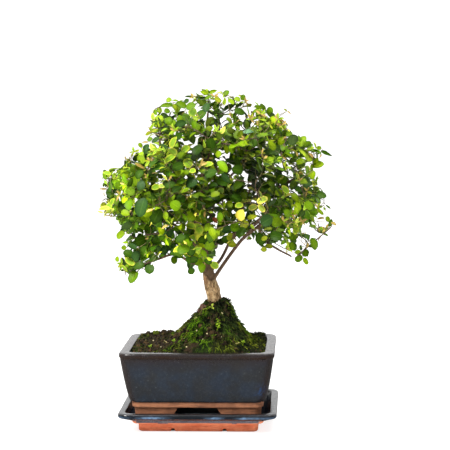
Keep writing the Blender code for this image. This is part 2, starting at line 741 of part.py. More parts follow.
def blade(root, along, face, length, room=0.0, start=0.0):
    """Vertices and faces of an arched leaf blade. With room it is fatter, to test for free space."""
    across = along.cross(face).normalized()
    face = across.cross(along).normalized()
    half_thickness = (LEAF_THICKNESS / 2 + room) * MM
    top = []
    for share, half_width in LEAF_OUTLINE:
        share = max(share, start)
        middle = root + along * (length * share) + face * (length * LEAF_ARCH * math.sin(math.pi * share))
        reach_across = across * (length * half_width + room * MM)
        top += [middle - reach_across, middle + reach_across]
    top.append(root + along * (length + room * MM))
    vertices = [point + face * half_thickness for point in top]
    vertices += [point - face * half_thickness for point in top]
    count = len(top)
    tip = count - 1
    faces = [(0, count, count + 1, 1)]
    for left in range(0, count - 3, 2):
        right = left + 1
        faces.append((left, right, right + 2, left + 2))
        faces.append((left + count, left + count + 2, right + count + 2, right + count))
        faces.append((left, left + 2, left + count + 2, left + count))
        faces.append((right, right + count, right + count + 2, right + 2))
    left = count - 3
    right = count - 2
    faces.append((left, right, tip))
    faces.append((left + count, tip + count, right + count))
    faces.append((left, tip, tip + count, left + count))
    faces.append((right, right + count, tip + count, tip))
    return vertices, faces


class Space:
    """Shapes placed so far, to keep new ones clear of them."""

    def __init__(self):
        self.shapes = []

    def add(self, vertices, faces):
        low = Vector([min(vertex[axis] for vertex in vertices) for axis in range(3)])
        high = Vector([max(vertex[axis] for vertex in vertices) for axis in range(3)])
        self.shapes.append((low, high, BVHTree.FromPolygons(vertices, faces)))

    def is_clear(self, vertices, faces):
        low = [min(vertex[axis] for vertex in vertices) for axis in range(3)]
        high = [max(vertex[axis] for vertex in vertices) for axis in range(3)]
        tested = None
        for other_low, other_high, shape in self.shapes:
            if any(low[axis] > other_high[axis] or high[axis] < other_low[axis] for axis in range(3)):
                continue
            if tested is None:
                tested = BVHTree.FromPolygons(vertices, faces)
            if tested.overlap(shape):
                return False
        return True


def seated_start(surface, first, second, radius):
    """Place of a twig's cut end, one gap off the wood that it grows from, on the way from first to second."""
    ahead = (second - first).normalized()
    for step in range(200):
        distance = step * SEAT_STEP
        fatter = tube([first + ahead * (distance - GAP), second], [radius + GAP] * 2, TWIG_SIDES)
        if not surface.overlap(BVHTree.FromPolygons(*fatter)):
            break
    return first + ahead * distance


def twig_shapes(tree, spray, surface):
    """Tubes of a spray's twigs, and the stretches that leaves grow from."""
    tubes = []
    stretches = []
    for number, chain in enumerate(chains_of(tree, spray)):
        points = [Vector(tree.places[joint]) * MM for joint in chain]
        radii = [tree.radii[joint] * MM for joint in chain]
        if number == 0:
            radii[0] = radii[1] * SPRAY_FOOT_SHARE
            points[0] = seated_start(surface, points[0], points[1], radii[0])
        else:
            radii[0] = min(radii[0], radii[1]) * SIDE_TWIG_SHARE
        tubes.append(tube(points, radii, TWIG_SIDES))
        for first, last in zip(points, points[1:]):
            stretches.append((first, last, last is points[-1]))
    return tubes, stretches


def leaf_roots(stretches):
    """Place, growing direction and turn of each leaf: alternate along the twigs, with one at each tip."""
    roots = []
    for first, last, is_tip in stretches:
        span = last - first
        count = max(1, round(span.length / (LEAF_SPACING * MM)))
        ahead = span.normalized()
        for step in range(count):
            share = (step + 0.55) / count
            roots.append((first.lerp(last, share), ahead, False))
        if is_tip:
            roots.append((last - ahead * 0.5 * MM, ahead, True))
    return roots


def leaf_on(root, ahead, at_tip, turn, rng, space):
    """Finds a free pose for a leaf, or None."""
    centre = Vector(CROWN_CENTRE) * MM
    outwards = (root - centre).normalized()
    for attempt in range(LEAF_TRIES):
        length = rng.uniform(*LEAF_LENGTHS) * MM
        if attempt > LEAF_FULL_SIZE_TRIES:
            length *= LEAF_REDUCTION
        side = ahead.orthogonal().normalized()
        side.rotate(Matrix.Rotation(turn + rng.uniform(-0.5, 0.5) * (1 + attempt / 4), 3, ahead))
        if at_tip:
            along = (ahead + side * rng.uniform(0.1, 0.6)).normalized()
        else:
            along = (side + ahead * rng.uniform(0.1, 0.45) + outwards * LEAF_OUTWARD_PULL).normalized()
        spread = Vector([rng.uniform(-LEAF_FACING_SPREAD, LEAF_FACING_SPREAD) for _ in range(3)])
        wish = outwards * LEAF_OUTWARD_FACING + Vector((0, 0, 1)) + spread
        face = wish - along * wish.dot(along)
        if face.length < 0.2:
            continue
        tested = blade(root, along, face.normalized(), length, LEAF_ROOM, LEAF_TEST_START)
        if space.is_clear(*tested):
            return blade(root, along, face.normalized(), length)
    return None


def make_sprays(tree, wood, material):
    """Leafy sprays, each with its twigs and leaves in one body, clear of each other and of the wood."""
    space = Space()
    vertices = [vertex.co.copy() for vertex in wood.data.vertices]
    faces = [tuple(polygon.vertices) for polygon in wood.data.polygons]
    space.add(vertices, faces)
    surface = BVHTree.FromPolygons(vertices, faces)
    rng = random.Random(SEED + 1)
    sprays = sorted({spray for spray in tree.sprays if spray is not None})
    twigs = {}
    for spray in sprays:
        twigs[spray] = twig_shapes(tree, spray, surface)
        for shape in twigs[spray][0]:
            space.add(*shape)
    made = []
    for spray in sprays:
        tubes, stretches = twigs[spray]
        shapes = list(tubes)
        turn = 0.0
        for root, ahead, at_tip in leaf_roots(stretches):
            turn += LEAF_TURN
            leaf = leaf_on(root, ahead, at_tip, turn, rng, space)
            if leaf is not None:
                space.add(*leaf)
                shapes.append(leaf)
        piece = fuse(f"spray_{spray:02d}", shapes, material)
        smooth(piece, 35)
        made.append(piece)
    return made


def centre_on_origin(pieces):
    """Carries every piece by one empty, so that the whole is centred over the origin and stands on Z = 0."""
    holder = bpy.data.objects.new("bonsai", None)
    bpy.context.scene.collection.objects.link(holder)
    graph = bpy.context.evaluated_depsgraph_get()
    corners = []
    for piece in pieces:
        corners += [piece.matrix_world @ Vector(corner) for corner in piece.evaluated_get(graph).bound_box]
    middle_x = (min(corner.x for corner in corners) + max(corner.x for corner in corners)) / 2
    middle_y = (min(corner.y for corner in corners) + max(corner.y for corner in corners)) / 2
    for made in list(bpy.context.scene.objects):
        if made is not holder:
            made.parent = holder
    holder.location = (-middle_x, -middle_y, 0)


def build():
    for old in list(bpy.data.objects):
        bpy.data.objects.remove(old)
    glaze = new_material("dark_blue_glaze", (0.020, 0.035, 0.065), 0.18)
    tray_glaze = new_material("tray_glaze", (0.012, 0.022, 0.045), 0.15)
    plastic = new_material("screen_plastic", (0.03, 0.03, 0.03), 0.5)
    earth = new_material("dark_soil", (0.045, 0.035, 0.022), 0.95)
    bark = new_material("bark", (0.33, 0.22, 0.13), 0.85)
    green = new_material("leaves", (0.10, 0.22, 0.03), 0.45)
    tray = make_tray(tray_glaze)
    pot = make_pot(glaze)
    screen_names = ("screen_left", "screen_right")
    screens = [make_screen(name, place, plastic) for name, place in zip(screen_names, DRAIN_PLACES)]
    soil = make_soil(earth)
    wood = make_wood(bark)
    sprays = make_sprays(grown_tree(), wood, green)
    centre_on_origin([tray, pot, *screens, soil, wood, *sprays])


build()
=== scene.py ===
"""Looks of the sweet plum bonsai: fine leaves on its sprays, bark, mossy soil, glazed pot and drip tray.

The layout is about the tray's centre on the ground, X along the pot and Y towards its back, as in the part.
Lengths are in millimetres, and each mesh is shifted and scaled into the frame when it is made.
"""

import itertools
import json
import math
import random

import bmesh
import bpy
import numpy as np
from mathutils import Matrix, Vector, noise
from mathutils.bvhtree import BVHTree

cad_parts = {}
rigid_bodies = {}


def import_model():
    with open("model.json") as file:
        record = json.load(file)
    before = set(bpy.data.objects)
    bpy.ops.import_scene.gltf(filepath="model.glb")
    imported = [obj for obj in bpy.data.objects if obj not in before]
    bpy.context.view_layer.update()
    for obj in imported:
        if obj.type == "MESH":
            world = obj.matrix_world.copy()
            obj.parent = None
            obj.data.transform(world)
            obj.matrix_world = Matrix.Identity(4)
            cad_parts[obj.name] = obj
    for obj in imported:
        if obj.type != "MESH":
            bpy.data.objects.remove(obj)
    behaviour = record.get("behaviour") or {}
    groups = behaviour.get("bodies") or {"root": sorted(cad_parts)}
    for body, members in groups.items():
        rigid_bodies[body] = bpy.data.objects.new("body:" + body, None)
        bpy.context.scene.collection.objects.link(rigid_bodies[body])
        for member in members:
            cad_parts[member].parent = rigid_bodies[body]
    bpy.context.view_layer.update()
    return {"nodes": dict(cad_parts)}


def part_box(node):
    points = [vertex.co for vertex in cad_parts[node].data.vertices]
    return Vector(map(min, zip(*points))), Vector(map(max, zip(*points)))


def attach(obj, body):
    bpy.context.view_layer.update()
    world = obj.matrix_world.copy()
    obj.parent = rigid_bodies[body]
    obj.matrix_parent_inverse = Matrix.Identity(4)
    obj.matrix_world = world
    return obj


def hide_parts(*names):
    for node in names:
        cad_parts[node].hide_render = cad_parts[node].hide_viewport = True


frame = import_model()

MM = 0.001
SEED = 7
BODY = "root"
tray_low, tray_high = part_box("tray")
SHIFT = Vector(((tray_low.x + tray_high.x) / 2, (tray_low.y + tray_high.y) / 2, 0.0))

# Camera: its place, and its turn to the left, downwards and round its axis in degrees
CAMERA_PLACE = (98.5, -1281.0, 336.0)
CAMERA_TURNS = (-3.18, 5.73, -0.52)
CAMERA_LENS = 100.0
FRONT_GLOW = 0.16
BACK_GLOW = 1.3
TOP_GLOW = 1.0
FLOOR_GLOW = 0.75
# Lamps in metres: name, place, size, power and colour
LAMPS = (
    ("key", (-1.0, -1.3, 1.6), 0.8, 80.0, (1.0, 0.98, 0.95)),
    ("top", (0.3, 0.1, 2.0), 1.0, 26.0, (1, 1, 1)),
)
LAMP_TARGET = (0, 0, 0.2)
FLOOR_HALF = 12.0
FLOOR_DROP = 0.0002

# Wood: each limb is a list of (x, y, z, radius) in millimetres, from where it leaves its parent to its tip
TRUNK = (
    (16.4, 0, 68.5, 7.3), (16.4, 0, 100, 7.5), (16.3, 0, 127, 7.0), (14.7, 0, 136, 7.4),
    (13.2, 0, 142, 7.5), (11.2, 0, 149, 6.8), (9.6, 0, 158, 6.0), (7.6, 1, 170, 4.8), (2.6, 2, 187, 4.2),
    (-1.6, 3, 202, 4.0), (-1.0, 3, 219, 3.5), (2.0, 2, 243, 2.9), (7.0, 0, 272, 2.2), (9.0, 0, 300, 1.6),
    (11.0, 0, 324, 1.1),
)
LIMBS = {
    "right_front": ((12.6, -1, 148, 2.3), (22.8, -4, 163, 2.0), (37, -7, 183, 1.9), (46, -9, 194, 1.9),
                    (62, -12, 207, 1.7), (82, -14, 222, 1.4), (101, -15, 238, 1.1)),
    "right_back": ((10.4, 1, 158, 2.1), (21.6, 6, 170, 1.8), (31, 10, 188, 1.7), (38.5, 15, 205, 1.6),
                   (47, 23, 229, 1.4), (57, 31, 252, 1.3), (66, 36, 273, 1.1)),
    "right_low": ((62, -12, 207, 1.6), (68, -17, 194, 1.4), (81, -21, 185, 1.3), (95, -24, 178, 1.1)),
    "right_side": ((47, 23, 229, 1.4), (62, 22, 236, 1.3), (82, 20, 244, 1.2), (102, 18, 256, 1.1)),
    "right_top": ((-1.0, 3, 219, 2.0), (12, -4, 234, 1.8), (30, -12, 254, 1.5), (48, -18, 274, 1.3),
                  (60, -20, 294, 1.1)),
    "left_low": ((6.4, 0, 164, 1.8), (-8, -4, 169, 1.6), (-24, -10, 178, 1.5), (-40, -14, 174, 1.3),
                 (-56, -18, 169, 1.1)),
    "left_mid": ((5.0, 1, 178, 1.9), (-7, -3, 190, 1.7), (-16, -8, 202, 1.6), (-32, -12, 214, 1.5),
                 (-52, -12, 226, 1.3), (-74, -10, 234, 1.1)),
    "left_back": ((-1.6, 3, 202, 1.8), (-14, 17, 213, 1.6), (-32, 31, 224, 1.4), (-50, 43, 237, 1.1)),
    "left_top": ((-1.0, 3, 219, 2.0), (-13, 6, 236, 1.7), (-27, 8, 256, 1.5), (-38, 8, 278, 1.3),
                 (-40, 8, 300, 1.1)),
    "left_front": ((-1.3, 3, 210, 1.7), (-13, -14, 220, 1.5), (-28, -32, 231, 1.3), (-40, -50, 243, 1.1)),
    "front_low": ((2.6, 2, 187, 1.8), (3, -15, 198, 1.6), (8, -34, 208, 1.4), (13, -54, 218, 1.1)),
    "front_right": ((37, -7, 183, 1.7), (47, -23, 196, 1.5), (58, -41, 210, 1.3), (70, -57, 225, 1.1)),
    "back_low": ((0.5, 2.4, 194, 1.9), (5, 20, 203, 1.7), (10, 40, 213, 1.4), (13, 60, 225, 1.1)),
    "back_right": ((31, 10, 188, 1.6), (41, 27, 197, 1.5), (60, 43, 208, 1.3), (78, 52, 222, 1.1)),
    "top_front": ((2.0, 2, 243, 1.8), (6, -14, 259, 1.6), (12, -31, 276, 1.4), (18, -44, 294, 1.1)),
    "top_back": ((3.7, 1, 253, 1.8), (8, 18, 268, 1.6), (12, 36, 284, 1.4), (14, 46, 302, 1.1)),
}

# Crown outline seen from the front: height, left reach and right reach in millimetres
CROWN_OUTLINE = (
    (178, -78, 104), (200, -84, 126), (221, -104, 132), (245, -102, 128), (265, -98, 124),
    (285, -74, 130), (300, -58, 110), (315, -52, 92), (332, -40, 72), (342, -16, 46), (348, 2, 20),
)
# Underside of the crown: place along X and lowest leaf in millimetres
CROWN_UNDERSIDE = (
    (-110, 200), (-90, 168), (-74, 152), (-57, 162), (-41, 174), (-16, 172), (12, 178), (42, 188),
    (58, 182), (91, 174), (108, 172), (120, 186), (134, 198),
)
CROWN_CENTRE = (15, 0, 222)
CROWN_DEPTH_SHARE = 0.80
CROWN_FARTHEST = 200.0
CROWN_MARGIN = 0.97
# Tips that stand out of the dome, in millimetres
LONE_TIPS = (
    (-102, -10, 222), (133, -29, 206), (113, -27, 193), (-70, -24, 150), (-82, -16, 160), (-62, -30, 160),
    (106, -26, 170), (90, -30, 172), (12, -4, 341), (-97, 4, 262), (128, 8, 281), (-46, -4, 324),
    (44, 6, 338), (-9, -18, 162), (8, -26, 180), (-14, -30, 190), (22, -22, 176), (80, -6, 318),
    (12, -92, 232), (14, 92, 234),
)

# Twigs and leaves, in millimetres. A turn is limited by the cosine between two directions
UPPER_TRUNK_JOINTS = 5
LOWEST_SPRAY = 165
SHARPEST_TURN = -0.1
TWIG_ROOM = 1.4
SITES = 205
MOST_SPRAYS = 52
NEAREST_FORK = 0.7
SITE_TRIES = 14
INNER_SHARE = 0.42
LONGEST_STRETCH = 42.0
DETOUR_COST = 0.30
MOST_SITES_PER_SPRAY = 6
TWIG_TIP_RADIUS = 0.75
TWIG_GROWTH = 0.18
# Fine twigs and shoots
TWIG_SLIMMING = 0.62
TWIG_STEP = 3.0
FINE_TWIG_SIDES = 5
NODE_SPACING = 6.2
SHOOT_SHARE = 0.36
SHOOT_LENGTHS = (8.0, 18.0)
SHOOT_RADIUS = 0.36
SHOOT_SPACING = 5.0
# Where leaves start and stop along shoots and twigs, how their spacing varies, and their stray turn
SHOOT_START = 3.0
SHOOT_END_ROOM = 1.0
SHOOT_STEPS = (0.8, 1.25)
SHOOT_TURN = 0.4
TWIG_STARTS = (4.0, 7.0)
TWIG_END_ROOM = 1.5
NODE_STEPS = (0.75, 1.3)
NODE_TURN = 0.35
TWIG_SWAY = 0.3
STALK_LENGTHS = (1.2, 2.6)
STALK_RADIUS = 0.22

# Leaf blades: rows along the blade, columns across it, and thickness
BLADE_ROWS = (0.0, 0.09, 0.25, 0.43, 0.6, 0.77, 0.92, 1.0)
BLADE_COLUMNS = (-1.0, -0.52, 0.0, 0.52, 1.0)
SMALL_BLADE_ROWS = (0.0, 0.1, 0.32, 0.58, 0.82, 1.0)
SMALL_BLADE_COLUMNS = (-1.0, 0.0, 1.0)
# How far the widest place lies from the foot, how full the blade is, and how blunt its ends are
BLADE_FORMS = {"round": (0.92, 2.3, 0.56), "oval": (0.88, 2.0, 0.68), "pointed": (0.72, 1.7, 0.9)}
BLADE_THICKNESS = 0.28
BLADE_TEETH = 0.03
# Least and most fold, arch, curl, twist and wave of a blade, and phase of its wave
BLADE_BENDS = ((0.02, 0.13), (-0.02, 0.12), (-0.06, 0.14), (-0.12, 0.12), (0.0, 0.025), (0, 6))
BLADE_TRIES = 5
OLD_LEAVES = (8.2, 13.4)
NEW_LEAVES = (4.2, 8.0)
OLD_LEAF_WIDTHS = (0.62, 0.92)
NEW_LEAF_WIDTHS = (0.34, 0.58)
NEW_LEAF_AGE = 0.72
# A leaf that finds no room is tried again, a little shorter and turned more freely
LEAF_SHRINK = 0.07
LEAF_LOOSE = 0.35
LEAF_LOOSER = 0.2
LEAF_AHEAD = (0.25, 0.8)
LEAF_TILT = 0.75
# Old leaves are larger at the lower left of this x and height
LOWER_LEFT = (5, 215)
LOWER_LEFT_GROWTH = 1.08
NEW_LEAF_FORMS = ("oval", "pointed", "pointed")
OLD_LEAF_FORMS = ("round", "round", "oval", "oval", "pointed")
NEW_LEAF_COLOURS = ("bronze", "bronze", "yellow", "lime", "lime", "lime", "fresh", "fresh")
LEAF_BRIGHTNESS = (0.94, 1.52)
LEAF_WARMTH = (0.88, 1.14)
SMALL_LEAF = 8.0
ROSETTE_LEAVES = (3, 5)
SHOOT_ROSETTES = 0.25
GOLDEN_TURN = math.radians(137.5)

# Reach of the leaves as seen from the front: height, left and right
LEAF_OUTLINE = (
    (147, -72, 20), (160, -84, 114), (172, -91, 114), (190, -80, 123), (203, -86, 135), (214, -92, 141),
    (221, -108, 130), (233, -102, 133), (246, -106, 131), (264, -103, 127), (276, -78, 129),
    (289, -72, 130), (296, -63, 118), (300, -56, 102), (304, -55, 93), (313, -53, 90), (323, -52, 86),
    (329, -43, 75), (335, -39, 52), (341, -16, 48), (347, 3, 20), (349, 10, 12),
)
# Lowest leaves as seen from the front: place along X and height
LEAF_UNDERSIDE = (
    (-100, 210), (-90, 168), (-82, 157), (-74, 148), (-66, 149), (-57, 158), (-51, 158), (-41, 166),
    (-34, 172), (-27, 168), (-20, 172), (-12, 157), (12, 160), (18, 172), (24, 186), (33, 186), (49, 194),
    (57, 186), (65, 180), (76, 184), (95, 176), (103, 170), (112, 170), (121, 182), (134, 196),
)
OLD_LEAF_STRAY = (-7.0, 1.5)
NEW_LEAF_STRAY = (-2.0, 2.0)
SHOOT_STRAY = -4.0
TWIG_STRAY = -3.0
# Bays in the crown's edge and open places inside it, read off the photo: x, z and radius seen from the front
GAPS = (
    (104, 312, 11), (133, 252, 11), (-107, 254, 10), (-105, 236, 8), (-89, 206, 8), (-89, 183, 10),
    (-90, 164, 7), (-85, 275, 9), (-68, 290, 8), (-58, 302, 6), (-57, 318, 6), (-46, 331, 6),
    (-35, 337, 5), (-20, 340, 5), (-7, 345, 6), (38, 344, 6), (54, 337, 6), (84, 328, 7), (117, 299, 8),
    (131, 290, 6), (140, 220, 7), (138, 201, 6), (126, 178, 8), (110, 204, 5), (118, 198, 5),
    (104, 190, 4), (127, 209, 4), (-57, 154, 6), (-38, 166, 7), (-18, 166, 6), (-78, 154, 5),
    (-47, 203, 3), (-72, 194, 3), (49, 279, 3), (46, 260, 2.5), (54, 258, 2.5), (22, 182, 4),
    (75, 181, 4), (-95, 214, 4),
)
GAP_STRAY = 1.0
# Places where shoots reach for the light, in millimetres
REACHING_SHOOTS = (
    (-36, -5, 330), (-20, -6, 334), (28, -5, 341), (64, -5, 327), (118, -10, 272), (126, -10, 243),
    (129, -10, 228), (-93, -8, 250), (-51, -18, 163), (92, 4, 306), (-92, 6, 256), (100, -25, 177),
    (109, -22, 181), (130, -25, 205), (122, -28, 192), (-72, -20, 155), (64, -24, 184), (136, -29, 208),
)
# Bare twigs seen from the front: the place they start near, and their tip
BARE_TWIGS = (((96, -26, 180), (137, -31, 209)), ((12, -4, 172), (22, -4, 189)))

# Leaves that stand out: centre, length, width, turn of the tip in degrees, and colour
SHOWN_LEAVES = (
    (47, 2, 338, 6.5, 6, 70, "mid"), (15, 15, 344, 9.5, 4, 20, "fresh"), (8, -8, 343, 9, 4, 160, "fresh"),
    (30, 1, 342, 8, 7, 60, "mid"), (13, -24, 338, 9, 5, 200, "mid"), (22, -15, 336, 8, 5, -30, "olive"),
    (36, -27, 334, 8, 5, -40, "fresh"), (-30, -19, 330, 13, 5.5, 180, "mid"),
    (-14, -27, 331, 11, 8, 150, "mid"), (-2, -60, 330, 10.5, 8, 20, "mid"),
    (-22, -9, 335, 8, 2.5, 175, "fresh"), (-45, -5, 319, 9, 5, 95, "yellow"),
    (-44, -18, 310, 8, 3, 55, "lime"), (-27, -24, 315, 9.5, 8, 120, "mid"),
    (-40, -31, 296, 9, 6, 205, "blue"), (-49, -35, 287, 12, 6.5, 250, "blue"),
    (-66, -38, 272, 9, 2.5, 130, "deep"), (-54, -46, 271, 12, 3, -30, "bronze"),
    (-51, -27, 294, 7, 2, 180, "bronze"), (-91, -23, 263, 9, 5, 165, "lime"),
    (-84, -21, 260, 7, 4, 80, "lime"), (-99, 1, 245, 9, 2, 178, "bronze"),
    (-89, -25, 243, 9, 2, 175, "deep"), (-75, -54, 252, 8, 6, 120, "mid"),
    (-83, -41, 235, 10, 5, 240, "lime"), (-92, -36, 228, 13, 4.5, 190, "yellow"),
    (-87, -33, 225, 11, 4, 205, "yellow"), (-67, -66, 226, 9.5, 7, -20, "fresh"),
    (-79, -16, 199, 11, 7.5, 215, "fresh"), (-57, -25, 194, 13, 12, 20, "deep"),
    (-49, -26, 205, 12, 9, 100, "deep"), (-63, -49, 191, 10, 7, 150, "blue"),
    (-70, -27, 181, 11, 9, 160, "deep"), (-60, -39, 180, 12, 9, 60, "blue"),
    (-42, -49, 179, 9.5, 9, 180, "deep"), (-57, -45, 171, 12, 9, 190, "deep"),
    (-45, -55, 169, 10, 10, 270, "deep"), (-64, -35, 158, 14, 11, 240, "mid"),
    (-28, 23, 168, 9, 7, 270, "mid"), (-3, -62, 168, 7.5, 7.5, 290, "deep"),
    (-3, -59, 212, 11, 7, 165, "lime"), (4, -53, 209, 12, 8.5, 120, "lime"),
    (9, -42, 204, 10, 6, -60, "lime"), (20, -94, 210, 10.5, 7.5, 110, "fresh"),
    (14, -43, 191, 11.5, 10, 250, "bright"), (6, -21, 178, 13, 9.5, 100, "bright"),
    (4, -12, 164, 11, 10.5, 230, "bright"), (0, -62, 179, 9, 7, 200, "deep"),
    (17, -12, 167, 11, 7.5, -40, "lime"), (-48, -83, 233, 19, 13.5, 255, "blue"),
    (-37, -55, 222, 16.5, 13.5, 240, "deep"), (-16, -85, 235, 11.5, 10.5, 140, "bright"),
    (-25, -85, 225, 8.5, 5.5, 100, "fresh"), (-28, -65, 233, 9, 4, 110, "olive"),
    (-1, -70, 255, 13.5, 11.5, 20, "blue"), (-22, -70, 254, 12.5, 8, 5, "deep"),
    (-36, -73, 252, 8.5, 6, 200, "lime"), (-31, -59, 252, 7, 5, 0, "yellow"),
    (-8, -53, 288, 10, 7, 40, "lime"), (-22, -69, 279, 14.5, 6.5, 215, "lime"),
    (-5, -62, 274, 11, 9, -50, "lime"), (15, -62, 273, 10, 6, 15, "lime"),
    (1, -81, 268, 6.5, 5, 190, "lime"), (2, -39, 318, 8, 4, 0, "lime"),
    (29, -64, 271, 14.5, 8, -50, "bright"), (33, -84, 261, 12.5, 6.5, -50, "blue"),
    (50, -57, 236, 12.5, 5, 10, "yellow"), (45, -68, 233, 8.5, 6, 190, "lime"),
    (68, -78, 239, 11.5, 7, 25, "yellow"), (58, -53, 230, 9, 6, 200, "yellow"),
    (67, -76, 231, 9.5, 6.5, -50, "yellow"), (49, -50, 213, 9.5, 9, 260, "olive"),
    (58, -63, 221, 11.5, 6.5, 15, "olive"), (58, -67, 212, 6, 3, -50, "lime"),
    (22, -81, 220, 7, 4.5, -50, "rust"), (72, -86, 220, 12.5, 11.5, 30, "blue"),
    (35, -52, 201, 9, 6, 80, "olive"), (37, -52, 193, 9, 6, 180, "olive"),
    (90, -49, 247, 11, 6, -50, "lime"), (100, -38, 238, 12, 7, -55, "fresh"),
    (113, -36, 230, 12, 8, -40, "bright"), (126, -28, 240, 11, 7, -20, "deep"),
    (132, 8, 280, 13.5, 4, -25, "deep"), (123, -16, 269, 13, 8, 10, "fresh"),
    (121, -14, 273, 9, 6, 60, "fresh"), (107, -34, 294, 12, 8, 60, "fresh"),
    (104, -41, 297, 7, 4, 110, "mid"), (112, -26, 291, 9, 6, 20, "mid"),
    (133, -16, 227, 7, 2, -40, "mid"), (126, -3, 214, 8, 2.5, 10, "bronze"),
    (138, -30, 211, 6, 3.5, -30, "bronze"), (130, -14, 199, 8, 2.5, -30, "mid"),
    (118, -32, 191, 14, 8, -70, "mid"), (110, -23, 181, 9, 7, 60, "mid"),
    (103, -22, 175, 10, 7, 220, "mid"), (110, -27, 173, 8, 5, -60, "fresh"),
    (96, -23, 188, 9, 6, 100, "mid"), (100, -41, 206, 9, 6, 80, "lime"),
    (68, -28, 185, 6.5, 6, 270, "olive"), (73, -25, 188, 8, 5, -10, "olive"),
    (66, -45, 198, 13, 12, 250, "deep"), (81, -48, 201, 13, 10, -10, "deep"),
    (69, -52, 199, 7, 5, 200, "olive"), (54, -52, 304, 11, 6, 0, "sheen"),
    (12, -34, 328, 10, 8, 70, "blue"), (-12, -57, 313, 11, 7, 20, "blue"),
    (29, -49, 306, 8, 4.5, 60, "yellow"), (42, -25, 307, 6, 4, 150, "lime"),
    (74, -4, 324, 9, 7, 80, "mid"), (64, -13, 328, 11, 4, -15, "mid"), (45, -43, 324, 11, 7, -20, "deep"),
    (34, -20, 315, 9, 5, -40, "fresh"), (17, -54, 293, 11.5, 10.5, 100, "deep"),
    (11, -60, 293, 8.5, 2.8, 95, "lime"), (25, -61, 283, 7, 6, 250, "fresh"),
    (105, -37, 274, 10, 7, 30, "fresh"), (117, -41, 261, 9, 7, 250, "fresh"),
    (86, -32, 294, 11, 7, 80, "fresh"), (77, -47, 291, 12, 7, 120, "fresh"),
    (6, -45, 305, 12, 9, 30, "mid"), (43, -52, 267, 12, 10, 170, "deep"),
    (18, -72, 265, 12.5, 10.5, 20, "deep"), (29, -66, 256, 13.5, 8.5, -20, "deep"),
    (42, -66, 240, 12.5, 9.5, 170, "deep"), (-14, -73, 272, 12.5, 8.5, 200, "deep"),
    (-52, -67, 264, 10.5, 8, 60, "deep"), (-50, -71, 253, 11.5, 8.5, 90, "blue"),
    (-24, -52, 206, 12, 9, 250, "blue"), (-9, -80, 192, 12.5, 10.5, 200, "mid"),
    (-3, -62, 188, 10.5, 9, 250, "deep"), (-32, -27, 184, 12, 9, 230, "blue"),
    (-11, -84, 203, 10.5, 8.5, 20, "deep"), (-39, -49, 196, 10, 8, 170, "deep"),
    (32, -68, 210, 11.5, 8.5, 170, "blue"), (47, -70, 207, 11.5, 8.5, 230, "deep"),
    (27, -82, 223, 10.5, 7.5, 250, "mid"),
)
SHOWN_TRIES = 5
TUFT_SPREAD = 200
# Leaves farther back close the holes in the leafage: least radius of a hole and length of its leaf
FILL_LENGTHS = ((4.0, 9.0), (3.0, 7.8), (2.2, 7.0), (1.6, 6.0))
FILL_MARGIN = 4.0
FILL_EDGE = -12.0
FILL_DEPTHS = (-25.0, 45.0)
FILL_TRIES = 6
# Tufts of new leaves that stand out: middle, number, length and colour
TUFTS = (
    (56, -37, 316, 6, 7, "bronze"), (66, -32, 321, 4, 6, "bronze"), (83, -23, 316, 6, 7, "bronze"),
    (87, -23, 310, 5, 6, "bronze"), (63, -37, 310, 5, 6, "bronze"), (75, -45, 311, 4, 6, "bronze"),
    (51, -70, 297, 4, 6, "bronze"), (67, -55, 283, 5, 6, "bronze"), (87, -41, 279, 5, 6, "bronze"),
    (73, -34, 294, 4, 7, "lime"), (101, -41, 284, 3, 7, "bronze"), (-18, -58, 306, 5, 6, "bronze"),
    (-7, -39, 306, 5, 5, "lime"), (22, -47, 305, 4, 6, "lime"), (8, -66, 272, 5, 7, "bronze"),
    (-45, -20, 304, 5, 8, "bronze"), (-63, -25, 284, 4, 6, "lime"), (-42, -66, 277, 6, 7, "bronze"),
    (-33, -74, 288, 6, 6, "lime"), (-75, -42, 242, 6, 7, "bronze"), (-76, -32, 171, 5, 8, "lime"),
    (29, -68, 231, 5, 7, "yellow"), (97, -54, 223, 5, 7, "bronze"), (88, -59, 217, 5, 6, "bronze"),
    (106, -38, 214, 4, 6, "bronze"), (122, -25, 227, 4, 8, "bronze"), (-3, -18, 339, 4, 5, "bronze"),
    (18, -11, 339, 4, 6, "bronze"), (-88, -17, 261, 4, 6, "yellow"), (90, -46, 269, 4, 6, "lime"),
    (100, -54, 215, 5, 6, "yellow"), (112, -27, 244, 4, 6, "bronze"), (99, -42, 207, 4, 5, "bronze"),
    (-47, -46, 260, 4, 6, "bronze"), (50, -24, 333, 4, 5, "bronze"), (92, -19, 324, 2, 6, "bronze"),
)

# Leaf colours
PALETTE = {
    # The blue-green leaves are partly a painted sheen, and the pale grey-green sheen leaf is a painted sheen
    "blue": (0.027, 0.068, 0.014),
    "sheen": (0.140, 0.270, 0.140),
    "olive": (0.260, 0.290, 0.012),
    "bright": (0.200, 0.345, 0.006),
    "deep": (0.034, 0.082, 0.003),
    "mid": (0.094, 0.174, 0.002),
    "fresh": (0.205, 0.300, 0.005),
    "lime": (0.460, 0.510, 0.040),
    "yellow": (0.800, 0.700, 0.110),
    "bronze": (0.430, 0.290, 0.085),
    "rust": (0.150, 0.036, 0.012),
    # Near-black leaves, painted shade for the dark inside of the crown
    "painted_shade": (0.022, 0.022, 0.010),
}
# The middle of the crown, where the leaves are darker: x and z, reach both ways, and how much
SHADY_PLACE = (32.0, 244.0)
SHADY_REACH = (60.0, 52.0)
SHADY_DEPTH = 0.60
# Places where the leafage is painted lighter or darker, as painted light and shade, seen from the front: x,
# z, reach, and share added or taken
PAINTED_LIGHT_PLACES = (
    (-45, 200, 24, 0.9), (-74, 243, 16, 0.7), (-10, 187, 18, 0.5), (47, 226, 11, 0.9), (108, 218, 17, 0.8),
    (92, 187, 14, 0.5), (58, 254, 20, -0.9), (-2, 280, 13, -0.6), (50, 309, 16, -0.5), (-59, 245, 11, -0.6),
    (-31, 237, 13, -0.4), (13, 309, 12, -0.4),
)
